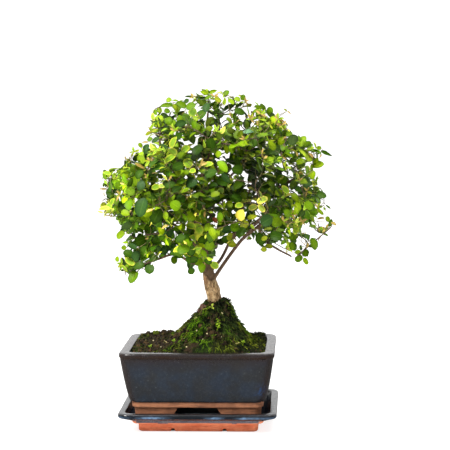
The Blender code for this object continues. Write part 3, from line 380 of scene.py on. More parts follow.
# Places where one colour is common: x, y, z, radius, colour and share of the leaves. The near-black leaves at
# the second place are painted shade for the dark inside of the crown
ACCENTS = (
    (-15, -72, 281, 15, "lime", 0.20), (8, -50, 216, 17, "painted_shade", 0.60),
    (55, -80, 234, 16, "yellow", 0.65), (68, -78, 240, 12, "yellow", 0.55),
    (26, -78, 268, 12, "lime", 0.60), (6, -50, 196, 16, "lime", 0.70), (-4, -30, 178, 14, "lime", 0.50),
    (60, -70, 216, 12, "yellow", 0.35), (88, -40, 196, 16, "lime", 0.40),
    (66, -40, 318, 20, "bronze", 0.30), (86, -40, 292, 20, "bronze", 0.30),
    (-88, -10, 236, 22, "bronze", 0.45), (-80, -20, 258, 18, "lime", 0.45),
    (124, -20, 214, 20, "bronze", 0.40), (-44, -20, 304, 16, "bronze", 0.35),
    (-45, -30, 184, 44, "deep", 0.30), (45, -30, 246, 36, "deep", 0.40),
)

# Bark
WOOD_VOXEL = 0.70
WOOD_STEP = 2.5
TRUNK_SIDES = 22
LIMB_SIDES = 10
# Radius from which wood has its full relief, and amounts of the relief
THICK_WOOD = 7.0
OLD_WOOD_RADIUS = 5.2
FLAKE_RELIEF = 0.42
CRACK_DEPTH = 0.5
GRAIN_RELIEF = 0.10
KNOTS = ((8.2, -4.0, 143.0, 2.6, 1.3), (9.4, -5.0, 137.0, 2.0, 0.9), (17.0, -5.5, 150.0, 2.4, 0.7),
         (19.5, 3.0, 140.0, 2.6, 0.9), (11.0, 6.5, 134.0, 2.8, 1.0))
BARK_TAN = (0.39, 0.245, 0.115)
BARK_PALE = (0.51, 0.37, 0.205)
BARK_BROWN = (0.105, 0.058, 0.032)
BARK_RED = (0.33, 0.150, 0.085)
BARK_GREY = (0.105, 0.074, 0.056)
# Old wood ends in a ridge shaped like a V across the trunk's front: x and z of its lowest point,
# and its slope
SCAR = (13.0, 148.6)
SCAR_SLOPE = 1.2
# Where the old wood is reddest: x and z, and reach both ways
RED_PLACE = (6.5, 151)
RED_REACH = (4.0, 6.0)
TWIG_BROWN = (0.105, 0.068, 0.045)
TWIG_GREEN = (0.22, 0.20, 0.07)

# Pot, tray and ground sizes as in the part
TRAY_RIM = (80.4, 58.5)
TRAY_RIM_TOP = 21.9
TRAY_RIM_UNDERSIDE = 17.0
TRAY_RIM_WIDTH = 7.0
TRAY_BODY = (67.0, 46.0)
TRAY_BODY_TOP = 12.3
TRAY_FOOT = (61.2, 39.3)
TRAY_FOOT_HEIGHT = 9.6
TRAY_FOOT_WALL = 6.0
TRAY_RECESS_HEIGHT = 8.0
TRAY_FLOOR = (68.0, 47.0)
TRAY_FLOOR_TOP = 15.0
TRAY_CORNER = 10.0
# Pools of blue glaze on the tray's front, with a painted highlight along the rim's lower roll: middle along X
# and reach
TRAY_POOLS_AND_HIGHLIGHTS = ((-45.0, 17.0), (18.0, 8.0), (48.0, 8.0))
NOTCH_PLACES = (-25.5, 27.1)
NOTCH_WIDTH = 4.5
NOTCH_HEIGHT = 3.0
POT_RIM = (78.5, 56.6)
POT_RIM_TOP = 83.4
POT_LIP_HEIGHT = 5.4
POT_LIP_PROUD = 1.0
POT_RIM_WIDTH = 10.0
POT_GLAZE_FOOT = (68.75, 48.05)
POT_GLAZE_BOTTOM = 32.3
POT_BAND = (66.9, 46.4)
POT_BAND_BOTTOM = 26.2
POT_FOOT = (64.2, 43.4)
POT_FOOT_BOTTOM = 15.3
POT_FOOT_WALL = 8.0
POT_RECESS_TOP = 26.6
POT_FLOOR = (61.3, 41.0)
POT_FLOOR_TOP = 33.0
POT_CORNER = 11.0
POT_BOW = 0.72
ARCH_HEIGHT = 25.8
ARCH_LONG = (20.0, 28.0)
ARCH_SHORT = (14.0, 19.0)
DRAIN_PLACES = (-31.0, 31.0)
DRAIN_RADIUS = 6.0
# Unevenness of the fired pieces: amount and scale. Their softened edges, and the least turn of a sharp one
POT_DENTS = (0.35, 0.03)
TRAY_DENTS = (0.3, 0.025)
POT_SOFTNESS = 0.5
TRAY_SOFTNESS = 0.4
WARE_EDGE = 50
# Numbers of the materials on a fired piece; the tray's thin glaze under its rim is partly a painted
# reflection of the floor
GLAZED, UNGLAZED, FLOOR_GLAZED, FLARE_GLAZED_WITH_REFLECTION = range(4)
# Pools of blue glaze on the pot: at the front x, height and their reach, and at the back the same
FRONT_POOL = (65.0, 45.0)
FRONT_POOL_REACH = (6.5, 10.0)
BACK_POOL = (-30.0, 50.0)
BACK_POOL_REACH = 12.0
# Glazes: dark and blue tone, where it pools (on the tray's rim also a painted highlight), and where it runs
# thin
POT_GLAZE = ((0.013, 0.015, 0.018), (0.012, 0.018, 0.029), (0.012, 0.055, 0.17), (0.017, 0.0075, 0.0035))
TRAY_GLAZE = ((0.003, 0.005, 0.008), (0.005, 0.010, 0.019), (0.15, 0.26, 0.42), (0.03, 0.025, 0.022))
# Thin lilac-grey glaze under the tray's rim, partly a painted reflection of the pale floor
FLARE_GLAZE_WITH_REFLECTION = ((0.105, 0.100, 0.120), (0.155, 0.150, 0.180), (0.15, 0.16, 0.2), (0.10, 0.08, 0.07))
DULL_GLAZE = ((0.002, 0.003, 0.006), (0.010, 0.012, 0.017))
# Fired clays: light and dark tone, and stain
POT_CLAY = ((0.30, 0.125, 0.062), (0.19, 0.078, 0.040), (0.085, 0.042, 0.028))
TRAY_CLAY = ((0.92, 0.33, 0.17), (0.80, 0.225, 0.105), (0.52, 0.13, 0.06))

# Ground
SOIL_BOTTOM = 33.3
SOIL_CORNER = 7.0
SOIL_EDGE_HEIGHT = 79.5
SOIL_LEVEL = 82.5
SOIL_BACK_RISE = 4.5
MOUND_TOP = 129.2
# Dips in the mound: x, y, radius and depth
MOUND_DIPS = ((13.0, -8.0, 6.0, 2.6), (33.0, -2.0, 7.0, 1.6), (0.0, -2.0, 7.0, 2.4))
MOUND_TOP_RADIUS = 12.0
MOUND_OFFSET = 2.2
MOUND_SLOPES = {"left": 0.94, "right": 1.6, "front": 1.15, "back": 1.25}
MOUND_BLEND = 4.0
BED_WAVE = 1.6
BED_WAVELENGTHS = (17.0, 15.0)
TRUNK_PLACE = (16.4, 0.0)
TRUNK_COLLAR = 6.4
GROUND_RINGS = 90
GROUND_SIDE_STEPS = 84
GROUND_ARC_STEPS = 12
# Patches of the ground: x, y, radius, tone
PATCHES = (
    (-4, -22, 15, "vivid"), (4, -30, 10, "vivid"), (8, -24, 7, "shade"), (12, -33, 6, "earth"),
    (27, -26, 12, "shade"), (38, -18, 11, "shade"), (19, -33, 5, "earth"), (21, -12, 6, "shade"),
    (33, -6, 6, "vivid"), (45, -3, 6, "vivid"), (28, -15, 4, "earth"), (-20, -17, 9, "earth"),
    (-46, 30, 18, "earth"), (-45, 0, 20, "earth"), (-64, 32, 8, "olive"), (-22, -34, 7, "olive"),
    (-46, -34, 14, "earth"), (-8, -42, 8, "earth"), (-60, 6, 12, "earth"), (-30, 20, 12, "earth"),
    (-32, -16, 10, "earth"), (8, -44, 9, "vivid"), (30, -41, 8, "olive"), (57, -18, 11, "straw"),
    (54, -34, 12, "shade"), (59, 10, 14, "straw"), (50, 34, 14, "olive"), (24, 22, 16, "vivid"),
    (-2, 18, 12, "shade"), (8, 38, 12, "olive"), (38, 8, 10, "vivid"), (-14, 12, 10, "olive"),
    (-30, 42, 6, "vivid"), (3, -8, 5, "clay"), (-56, -38, 8, "earth"), (52, -32, 6, "straw"),
    (13, -8, 4, "earth"), (21, -11, 5, "shade"), (11, -26, 7, "shade"), (29, -28, 5, "vivid"),
    (-30, 40, 14, "olive"),
)
TONES = {
    "vivid": ((0.040, 0.088, 0.002), 1.0),
    "shade": ((0.016, 0.027, 0.005), 0.85),
    "olive": ((0.052, 0.068, 0.005), 0.9),
    "straw": ((0.088, 0.110, 0.008), 0.95),
    "earth": ((0.026, 0.016, 0.009), 0.08),
    "clay": ((0.120, 0.062, 0.052), 0.0),
}
TONE_SHARPNESS = 11.0
MOSS_FLOOR_SHADE = 0.16
MOUND_HOLLOW = {"left": 6.5, "right": 8.0, "front": 3.0, "back": 3.0}
FROND_COUNT = 10000
FROND_LENGTHS = (1.8, 4.2)
FROND_RADIUS = 0.36
FROND_SCATTER = 0.7
STRAND_COUNT = 2600
STRAND_LENGTHS = (4.0, 8.0)
STRAND_RADIUS = 0.46
STRAND_SCATTER = 0.4
STRAND_LIGHT = 2.3
CRUMB_COUNT = 700
# How surely moss keeps crumbs away
CRUMB_LOSS = 0.97
FINE_CRUMB = 1.35
# Lumps of clay, moss and earth: centre, radius and tone
LUMPS = (
    (4.6, -8.5, 123.2, 3.4, "clay"), (1.6, -7.5, 119.6, 2.7, "clay"), (7.4, -7.0, 127.0, 2.4, "shade"),
    (24.0, -5.0, 127.6, 3.8, "shade"), (27.4, -3.0, 125.8, 3.4, "shade"),
    (-24.0, 38.0, 87.6, 4.2, "olive"), (-33.0, 36.0, 87.2, 3.6, "earth"),
    (-41.0, 38.0, 87.0, 3.4, "earth"), (-50.0, 37.0, 86.8, 3.6, "olive"),
    (-58.0, 36.0, 86.0, 3.2, "earth"), (-15.0, 36.0, 87.4, 3.4, "earth"),
    (47.0, 28.0, 86.4, 3.0, "olive"), (57.0, 22.0, 84.4, 2.6, "olive"),
)
PALE_GRAINS = (
    (24.6, -17.4), (37.2, -17.6), (10.1, -34.2), (24.6, -35.8), (-10.4, -40.4), (-14.4, -25.8),
    (-1.1, -27.2), (5.3, -36.8), (32.0, 18.0), (-12.0, 26.0), (44.0, -8.0), (5.0, 33.0), (-38.0, -20.0),
    (-50.0, 12.0), (52.0, 26.0),
)
PALE_GRAIN = (0.78, 0.66, 0.42)
# Where crumbs and moss lie: share on the mound, their distances from its middle, and room left free
MOUND_SHARE = 0.55
MOUND_INNER = 7.0
MOUND_REACH = 32.0
MOUND_STRETCH = {"left": 1.25, "right": 0.85}
EDGE_ROOM = 1.5
TRUNK_ROOM = 6.2
# Seedlings: place, way, length, leaf length, pairs of leaves and tint
PALE_SPRIG = (0.36, 0.45, 0.06)
LIME_SPRIG = (0.19, 0.31, 0.015)
SPRIG_FACE = (0.1, -0.5, 1.0)
SEEDLINGS = (
    ((5.0, -12.0), (0.93, -0.3, 0.22), 9.5, 4.2, 2, PALE_SPRIG),
    ((21.0, -23.0), (0.05, -0.6, -0.5), 8.0, 3.0, 4, LIME_SPRIG),
    ((20.3, -32.0), (0.2, -0.5, 0.5), 5.0, 2.6, 2, LIME_SPRIG),
    ((-24.0, -28.0), (-0.1, -0.4, 0.7), 4.0, 2.6, 2, LIME_SPRIG),
    ((36.0, 20.0), (0.3, 0.4, 0.6), 4.5, 2.8, 2, LIME_SPRIG),
    ((-14.0, 30.0), (-0.2, 0.5, 0.6), 5.0, 3.0, 2, PALE_SPRIG),
    ((46.0, -30.0), (0.1, -0.3, 0.8), 4.0, 2.4, 2, LIME_SPRIG),
    ((-48.0, -34.0), (0, -0.3, 0.8), 3.5, 2.4, 2, LIME_SPRIG),
)
# Grassy tufts
GRASS_PLACES = (
    (7.6, -42.0), (-2.0, -38.0), (17.0, -38.0), (30.0, 30.0), (-30.0, 26.0), (48.0, 8.0), (-8.0, -30.0),
)
GRASS_BLADES = 16
GRASS_LENGTHS = (4.0, 7.0)
GRASS_RADIUS = 0.3
GRASS_SCATTER = 0.8
GRASS_TINT = (0.10, 0.185, 0.008)
# Straws: place, turn and length
STRAWS = (
    ((39.0, -35.5), 0.15, 6.5), ((-34.0, -12.0), 2.2, 6.0), ((38.0, 28.0), 1.0, 7.0),
    ((-2.0, -12.5), 0.45, 6.0),
)
STRAW_TINT = (0.52, 0.44, 0.20)


def clamp(value):
    return min(max(value, 0.0), 1.0)


def fade(value, middle, reach):
    """1 at the middle, fading to 0 at the reach from it."""
    return max(0.0, 1 - abs(value - middle) / reach)


# Crown, limbs and twigs as points, all in millimetres


def between(table, height, column):
    """Value of a column of the table at a height, on straight lines between its rows."""
    heights = [row[0] for row in table]
    values = [row[column] for row in table]
    return float(np.interp(height, heights, values))


def in_crown(x, y, z):
    """True inside the dome of leaves."""
    if z > CROWN_OUTLINE[-1][0] or z < between(CROWN_UNDERSIDE, x, 1):
        return False
    left = between(CROWN_OUTLINE, z, 1)
    right = between(CROWN_OUTLINE, z, 2)
    half_width = (right - left) / 2
    across = (x - (left + right) / 2) / half_width
    deep = y / (half_width * CROWN_DEPTH_SHARE)
    return across * across + deep * deep < 1


def reach(direction):
    """Distance from the crown's centre to its surface."""
    step = 2.0
    length = step
    while in_crown(*(np.array(CROWN_CENTRE) + direction * length)) and length < CROWN_FARTHEST:
        length += step
    return length


def leaf_sites(rng):
    """Evenly spread places that twigs grow to, most of them in the outer part of the crown."""
    sites = [np.array(tip, float) for tip in LONE_TIPS]
    while len(sites) < SITES:
        best = None
        best_room = -1.0
        for _ in range(SITE_TRIES):
            direction = np.array([rng.gauss(0, 1) for _ in range(3)])
            direction /= np.linalg.norm(direction)
            share = INNER_SHARE + (1 - INNER_SHARE) * math.sqrt(rng.random())
            place = np.array(CROWN_CENTRE) + direction * reach(direction) * share * CROWN_MARGIN
            room = min(np.linalg.norm(place - other) for other in sites)
            if room > best_room:
                best = place
                best_room = room
        sites.append(best)
    return np.array(sites)


def stretch_gaps(start, end, starts, ends):
    """Smallest distance between the stretch from start to end and each other stretch."""
    along = np.linspace(0, 1, 25)[:, None, None]
    points = start + (end - start) * along
    spans = ends - starts
    share = ((points - starts) * spans).sum(2) / (spans * spans).sum(1)
    nearest = starts + spans * np.clip(share, 0, 1)[..., None]
    return np.linalg.norm(points - nearest, axis=2).min(0)


class Tree:
    """Joints of the wood and the twigs: place, parent, radius and the spray that each belongs to."""

    def __init__(self):
        self.places = []
        self.parents = []
        self.radii = []
        self.sprays = []
        self.paths = []

    def add(self, place, parent, radius, spray):
        self.places.append(np.array(place, float))
        self.parents.append(parent)
        self.radii.append(radius)
        self.sprays.append(spray)
        length = 0.0
        if spray is not None:
            length = self.paths[parent] + np.linalg.norm(self.places[-1] - self.places[parent])
        self.paths.append(length)
        return len(self.places) - 1

    def children(self, joint):
        return [index for index, parent in enumerate(self.parents) if parent == joint]

    def heading(self, joint):
        """Direction in which growth arrives at a joint."""
        parent = self.parents[joint]
        step = self.places[joint] - self.places[parent if parent is not None else joint]
        return step / max(np.linalg.norm(step), 1e-9)

    def stretches(self, apart_from):
        """Starts, ends and radii of all stretches that don't touch one joint."""
        chosen = []
        for index, parent in enumerate(self.parents):
            if parent is not None and apart_from not in (index, parent):
                radius = max(self.radii[parent], self.radii[index])
                chosen.append((self.places[parent], self.places[index], radius))
        starts, ends, radii = zip(*chosen)
        return np.array(starts), np.array(ends), np.array(radii)


def add_wood(tree):
    """Trunk and limbs as chains of joints."""
    for limb in (TRUNK, *LIMBS.values()):
        joint = None
        for x, y, z, radius in limb:
            joint = tree.add((x, y, z), joint, radius, None)


def first_free_joints(tree):
    """Joints of the wood where a spray may start: limbs past their first stretch, and the upper trunk."""
    free = set()
    for joint, parent in enumerate(tree.parents):
        past_first = parent is not None and tree.parents[parent] is not None
        if past_first and tree.places[joint][2] > LOWEST_SPRAY:
            free.add(joint)
    return {joint for joint in free if joint >= len(TRUNK) - UPPER_TRUNK_JOINTS}


def may_grow(tree, joint, site, starts_left):
    """True where a new stretch from the joint to the site is natural and clear of all the others."""
    step = site - tree.places[joint]
    length = np.linalg.norm(step)
    direction = step / length
    spray = tree.sprays[joint]
    children = tree.children(joint)
    if spray is None:
        grown = sum(tree.sprays[child] is not None for child in children)
        if grown > 1 or not starts_left:
            return False
    elif len(children) > 1 or tree.sprays.count(spray) >= MOST_SITES_PER_SPRAY:
        return False
    if length > LONGEST_STRETCH or direction @ tree.heading(joint) < SHARPEST_TURN:
        return False
    for child in children:
        if direction @ tree.heading(child) > NEAREST_FORK:
            return False
    starts, ends, radii = tree.stretches(joint)
    room = stretch_gaps(tree.places[joint], site, starts, ends) - radii
    return room.min() > TWIG_TIP_RADIUS + TWIG_ROOM


def grow_twigs(tree, sites):
    """Joins each site to the tree by the cheapest stretch that may grow there, nearest first."""
    free = first_free_joints(tree)
    joints = len(tree.places)
    cost = np.full((len(sites), joints + len(sites)), np.inf)
    for joint in free:
        cost[:, joint] = np.linalg.norm(sites - tree.places[joint], axis=1)
    sprays = 0
    while np.isfinite(cost).any():
        site, joint = np.unravel_index(np.argmin(cost), cost.shape)
        joint = int(joint)
        if not may_grow(tree, joint, sites[site], sprays < MOST_SPRAYS):
            cost[site, joint] = np.inf
            continue
        spray = tree.sprays[joint]
        if spray is None:
            sprays += 1
            spray = sprays
        new = tree.add(sites[site], joint, TWIG_TIP_RADIUS, spray)
        cost[site, :] = np.inf
        waiting = np.isfinite(cost).any(axis=1)
        lengths = np.linalg.norm(sites - tree.places[new], axis=1)
        cost[waiting, new] = lengths[waiting] + DETOUR_COST * tree.paths[new]


def thicken_twigs(tree):
    """Gives each twig joint a radius that grows with the number of joints that it carries."""
    carried = [1] * len(tree.places)
    for joint in range(len(tree.places) - 1, -1, -1):
        if tree.sprays[joint] is not None:
            tree.radii[joint] = TWIG_TIP_RADIUS + TWIG_GROWTH * (math.sqrt(carried[joint]) - 1)
            carried[tree.parents[joint]] += carried[joint]


def grown_tree():
    tree = Tree()
    add_wood(tree)
    grow_twigs(tree, leaf_sites(random.Random(SEED)))
    thicken_twigs(tree)
    return tree


def chains_of(tree, spray):
    """Runs of joints of a spray, each from the joint that it leaves to a tip."""
    chains = []
    for joint, owner in enumerate(tree.sprays):
        if owner != spray:
            continue
        parent = tree.parents[joint]
        chain = next((chain for chain in chains if chain[-1] == parent), None)
        if chain is None:
            chains.append([parent, joint])
        else:
            chain.append(joint)
    return chains


# Meshes from many small shapes


class Shapes:
    """Small shapes gathered into one mesh, each with a tint, marks for its pattern and a material number."""

    def __init__(self):
        self.points = []
        self.faces = []
        self.tints = []
        self.marks = []
        self.slots = []
        self.count = 0

    def add(self, points, faces, tint, marks=(0.0, 0.0, 0.0), slot=0):
        points = np.asarray(points, float)
        self.points.append(points)
        self.tints.append(np.broadcast_to(np.asarray(tint, float), points.shape))
        self.marks.append(np.broadcast_to(np.asarray(marks, float), points.shape))
        self.faces += [tuple(corner + self.count for corner in face) for face in faces]
        self.slots += [slot] * len(faces)
        self.count += len(points)

    def build(self, name, materials):
        """One object in the frame's place and scale."""
        points = np.concatenate(self.points) * MM + np.array(SHIFT)
        mesh = bpy.data.meshes.new(name)
        mesh.from_pydata(points.tolist(), [], self.faces)
        for material in materials:
            mesh.materials.append(material)
        mesh.polygons.foreach_set("material_index", self.slots)
        set_attributes(mesh, np.concatenate(self.tints), np.concatenate(self.marks))
        mesh.update()
        made = bpy.data.objects.new(name, mesh)
        bpy.context.scene.collection.objects.link(made)
        return made


def finish_piece(piece, slot, *replaced, angle=60):
    """Smooth shading, and the piece's place in the frame."""
    piece.data.shade_smooth()
    piece.data.set_sharp_from_angle(angle=math.radians(angle))
    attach(piece, BODY)
    if replaced:
        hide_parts(*replaced)
    return piece


def scattered(rng, reach):
    """A random vector whose three values stay within the reach."""
    return np.array([rng.uniform(-reach, reach) for _ in range(3)])


def unit(vector):
    return vector / max(np.linalg.norm(vector), 1e-9)


def smooth_path(points, step):
    """Points on a smooth curve through the given ones, and the share of the way between them for each."""
    points = np.array(points, float)
    spans = np.diff(points, axis=0)
    ways = spans / np.maximum(np.linalg.norm(spans, axis=1), 1e-9)[:, None]
    turns = [ways[0]] + [unit(first + second) for first, second in zip(ways, ways[1:])] + [ways[-1]]
    curve = []
    places = []
    for index, span in enumerate(spans):
        length = np.linalg.norm(span)
        steps = max(2, round(length / step))
        for number in range(steps):
            share = number / steps
            square = share * share
            cube = square * share
            place = (2 * cube - 3 * square + 1) * points[index] + (3 * square - 2 * cube) * points[index + 1]
            place = place + (cube - 2 * square + share) * length * turns[index]
            curve.append(place + (cube - square) * length * turns[index + 1])
            places.append(index + share)
    curve.append(points[-1])
    places.append(len(points) - 1.0)
    return np.array(curve), np.array(places)


def tube(points, radii, sides, pointed=False):
    """Vertices and faces of a closed tapered tube along a path."""
    points = np.asarray(points, float)
    aheads = np.gradient(points, axis=0)
    side = np.cross(aheads[0], (0.31, 0.87, 0.38))
    angles = 2 * math.pi * np.arange(sides) / sides
    vertices = []
    for point, ahead, radius in zip(points, aheads, radii):
        ahead = unit(ahead)
        side = unit(side - ahead * (side @ ahead))
        across = np.cross(ahead, side)
        ring = np.outer(np.cos(angles), side) + np.outer(np.sin(angles), across)
        vertices.append(point + ring * radius)
    rings = len(vertices)
    faces = [tuple(reversed(range(sides)))]
    last_ring = rings - 2 if pointed else rings - 1
    for ring in range(last_ring):
        for corner in range(sides):
            low = ring * sides + corner
            low_next = ring * sides + (corner + 1) % sides
            faces.append((low, low_next, low_next + sides, low + sides))
    last = last_ring * sides
    if pointed:
        vertices[-1] = points[-1:]
        tip = last + sides
        faces += [(last + corner, last + (corner + 1) % sides, tip) for corner in range(sides)]
    else:
        faces.append(tuple(range(last, last + sides)))
    return np.concatenate(vertices), faces


# Leaves


def blade_faces(rows, columns):
    """Faces of a thin closed blade whose upper points come first, row by row."""
    under = rows * columns
    faces = []
    for row in range(rows - 1):
        for column in range(columns - 1):
            corner = row * columns + column
            top = (corner, corner + 1, corner + columns + 1, corner + columns)
            faces.append(top)
            faces.append(tuple(index + under for index in reversed(top)))
    left = [row * columns for row in range(rows)]
    right = [row * columns + columns - 1 for row in range(rows)]
    edge = list(range(columns)) + right[1:] + list(range(under - 2, under - columns - 1, -1)) + left[-2:0:-1]
    for first, second in zip(edge, edge[1:] + edge[:1]):
        faces.append((second, first, first + under, second + under))
    return faces


class Blade:
    """A grid of points over a leaf: how far across and along each lies, and how wide the leaf is there."""

    def __init__(self, rows, columns, form):
        skew, fullness, bluntness = BLADE_FORMS[form]
        self.across, self.along = (grid.ravel() for grid in np.meshgrid(columns, rows))
        spread = (1 - np.abs(2 * self.along**skew - 1) ** fullness) ** bluntness
        saw = np.where(np.arange(len(self.along)) // len(columns) % 2, 1, -1) * np.abs(self.across)
        self.spread = np.maximum(spread, 0.07) * (1 + BLADE_TEETH * saw)
        self.faces = blade_faces(len(rows), len(columns))


BLADES = {form: Blade(BLADE_ROWS, BLADE_COLUMNS, form) for form in BLADE_FORMS}
SMALL_BLADES = {form: Blade(SMALL_BLADE_ROWS, SMALL_BLADE_COLUMNS, form) for form in BLADE_FORMS}
BLADE_PROXY = ((0.0, 0.0), (-1.0, 0.35), (-0.95, 0.7), (0.0, 1.0), (0.95, 0.7), (1.0, 0.35))


class Pose:
    """Place, directions and size of one leaf."""

    def __init__(self, root, along, face, length, width):
        self.root = root
        self.along = unit(along)
        self.across = unit(np.cross(self.along, face))
        self.face = np.cross(self.across, self.along)
        self.length = length
        self.width = width

    def place(self, across, along, up):
        return (
            self.root
            + np.outer(across * self.width / 2, self.across)
            + np.outer(along * self.length, self.along)
            + np.outer(up * self.length, self.face)
        )

    def outline(self):
        across, along = np.array(BLADE_PROXY).T
        return self.place(across, along, 0.08 * np.sin(math.pi * along))


def blade_points(pose, blade, rng):
    """Points of a folded, arched and slightly twisted blade."""
    fold, arch, curl, twist, wave, phase = (rng.uniform(*bend) for bend in BLADE_BENDS)
    across = blade.across * blade.spread
    up = fold * np.abs(across) + arch * np.sin(math.pi * blade.along) - curl * blade.along**2
    up = up + twist * across * (blade.along - 0.3)
    up = up + wave * np.sin(9 * blade.along + phase) * np.abs(blade.across)
    top = pose.place(across, blade.along, up)
    thickness = BLADE_THICKNESS * (1 - 0.55 * np.abs(blade.across))
    bottom = top - np.outer(thickness, pose.face)
    return np.concatenate([top, bottom])


class LeafRoom:
    """Leaves placed so far, to keep new ones from crossing them."""

    CELL = 15.0

    def __init__(self):
        self.cells = {}
        self.sight = Sight()

    def key(self, place):
        return tuple(int(value // self.CELL) for value in place)

    def clear(self, outline, centre):
        shape = BVHTree.FromPolygons(outline.tolist(), [tuple(range(len(outline)))])
        cell = self.key(centre)
        for steps in itertools.product((-1, 0, 1), repeat=3):
            near = self.cells.get(tuple(value + step for value, step in zip(cell, steps)), ())
            for other_centre, other in near:
                if np.abs(centre - other_centre).max() < self.CELL and shape.overlap(other):
                    return None
        return shape

    def add(self, shape, centre):
        self.cells.setdefault(self.key(centre), []).append((centre, shape))


class Sight:
    """Leaves that stand out: other leaves stay out of the way between them and the eye."""

    def __init__(self):
        self.shown = []

    def show(self, centre, radius):
        self.shown.append((*seen_from_front(centre[None])[0], centre[1], radius))

    def blocked(self, centre, length):
        """True where a leaf at the centre would hide one that stands out."""
        x, z = seen_from_front(centre[None])[0]
        shown_x, shown_z, shown_y, radius = np.array(self.shown).T
        away = np.hypot(shown_x - x, shown_z - z)
        return bool(((away < radius + 0.33 * length) & (centre[1] < shown_y + 1.0)).any())


def shape_leaf(shapes, root, foot, pose, tint, variegated, form, rng):
    """Adds a blade and the stalk from the root to its foot."""
    small = pose.length < SMALL_LEAF
    blade = (SMALL_BLADES if small else BLADES)[form]
    marks = np.column_stack([blade.across, blade.along, np.full(len(blade.across), variegated)])
    tints = np.concatenate([np.tile(side, (len(marks), 1)) for side in (tint, tint * 0.8 + 0.02)])
    shapes.add(blade_points(pose, blade, rng), blade.faces, tints, np.concatenate([marks, marks]))
    tip = foot + pose.along * 0.8
    stalk_points, stalk_faces = tube([root, (root + foot) / 2, tip], [STALK_RADIUS] * 3, 3)
    shapes.add(stalk_points, stalk_faces, tint * 0.6 + np.array(TWIG_GREEN) * 0.3, slot=1)


def painted_light_at(place):
    """Painted light and shade: how much lighter or darker the leaves are painted where this place appears."""
    x, z = seen_from_front(np.array(place)[None])[0]
    light = 1.0
    for middle_x, middle_z, reach, more in PAINTED_LIGHT_PLACES:
        light *= 1 + more * math.exp(-((x - middle_x) ** 2 + (z - middle_z) ** 2) / reach ** 2)
    return light


def from_shady(x, z):
    """How far x and z lie from the shady middle of the crown, as shares of its reach."""
    return (x - SHADY_PLACE[0]) / SHADY_REACH[0], (z - SHADY_PLACE[1]) / SHADY_REACH[1]


def leaf_tint(place, fresh, rng):
    """Colour of a leaf: dark inside the crown, lighter on new shoots, with the accents' colours near them,
    and with painted light and shade at the listed places.
    """
    for x, y, z, radius, name, share in ACCENTS:
        fits = name != "bronze" or fresh > NEW_LEAF_AGE
        if fits and np.linalg.norm(place - (x, y, z)) < radius and rng.random() < share:
            break
    else:
        chance = rng.random()
        if fresh > NEW_LEAF_AGE:
            name = rng.choice(NEW_LEAF_COLOURS)
        elif fresh > 0.5 and chance < 0.5:
            name = "lime" if chance < 0.2 else "fresh"
        elif chance < 0.42:
            name = "deep"
        elif chance < 0.84:
            name = "mid"
        else:
            name = "fresh"
    across, up = from_shady(place[0], place[2])
    bright = rng.uniform(*LEAF_BRIGHTNESS) * (1 - SHADY_DEPTH * math.exp(-across * across - up * up))
    # Painted light and shade at the listed places
    bright *= painted_light_at(place)
    warm = rng.uniform(*LEAF_WARMTH)
    red, green, blue = PALETTE[name]
    return np.array((red * bright * warm, green * bright, blue * bright / warm)), name


def seen_from_front(points):
    """x and z where the points appear on the plane through the trunk, for the eye in front."""
    eye = np.array(CAMERA_PLACE)
    share = eye[1] / (eye[1] - points[:, 1])
    return eye[[0, 2]] + (points[:, [0, 2]] - eye[[0, 2]]) * share[:, None]


def in_leafage(outline, stray):
    """True where no point of the leaf strays out of the leafage as seen from the front."""
    x, z = seen_from_front(outline).T
    heights, left, right = np.array(LEAF_OUTLINE).T
    places, lowest = np.array(LEAF_UNDERSIDE).T
    inside = (x > np.interp(z, heights, left) - stray) & (x < np.interp(z, heights, right) + stray)
    inside &= (z > np.interp(x, places, lowest) - stray) & (z < heights[-1] + stray)
    return inside.all()


def in_gap(outline):
    """True where a point of the leaf reaches into a gap as seen from the front."""
    x, z = seen_from_front(outline).T
    gap_x, gap_z, radius = np.array(GAPS).T
    return bool((np.hypot(x[:, None] - gap_x, z[:, None] - gap_z) < radius - GAP_STRAY).any())


def add_leaf(shapes, room, root, side, ahead, fresh, rng):
    """Adds one leaf with its stalk where it crosses no other."""
    outwards = unit(root - np.array(CROWN_CENTRE))
    for attempt in range(BLADE_TRIES):
        is_new = fresh > NEW_LEAF_AGE
        length = rng.uniform(*(NEW_LEAVES if is_new else OLD_LEAVES)) * (1 - LEAF_SHRINK * attempt)
        if root[2] < LOWER_LEFT[1] and root[0] < LOWER_LEFT[0] and not is_new:
            length *= LOWER_LEFT_GROWTH
        width = length * rng.uniform(*(NEW_LEAF_WIDTHS if is_new else OLD_LEAF_WIDTHS))
        scatter = scattered(rng, LEAF_LOOSE + LEAF_LOOSER * attempt)
        along = unit(side + ahead * rng.uniform(*LEAF_AHEAD) + outwards * 0.25 + scatter)
        wish = outwards * 0.8 + (0, 0, 0.75) + scattered(rng, LEAF_TILT)
        face = wish - along * (wish @ along)
        if np.linalg.norm(face) < 0.15:
            continue
        stalk = rng.uniform(*STALK_LENGTHS)
        foot = root + unit(side + ahead * 0.6) * stalk
        pose = Pose(foot, along, unit(face), length, width)
        outline = pose.outline()
        centre = outline.mean(0)
        stray = rng.uniform(*(NEW_LEAF_STRAY if is_new else OLD_LEAF_STRAY))
        if in_gap(outline) or room.sight.blocked(centre, length) or not in_leafage(outline, stray):
            continue
        shape = room.clear(outline, centre)
        if not shape:
            continue
        room.add(shape, centre)
        tint, name = leaf_tint(centre, fresh, rng)
        variegated = 1.0 if name in ("yellow", "lime") and rng.random() < 0.6 else rng.uniform(0.0, 0.3)
        form = rng.choice(NEW_LEAF_FORMS if is_new else OLD_LEAF_FORMS)
        shape_leaf(shapes, root, foot, pose, tint, variegated, form, rng)
        return True
    return False


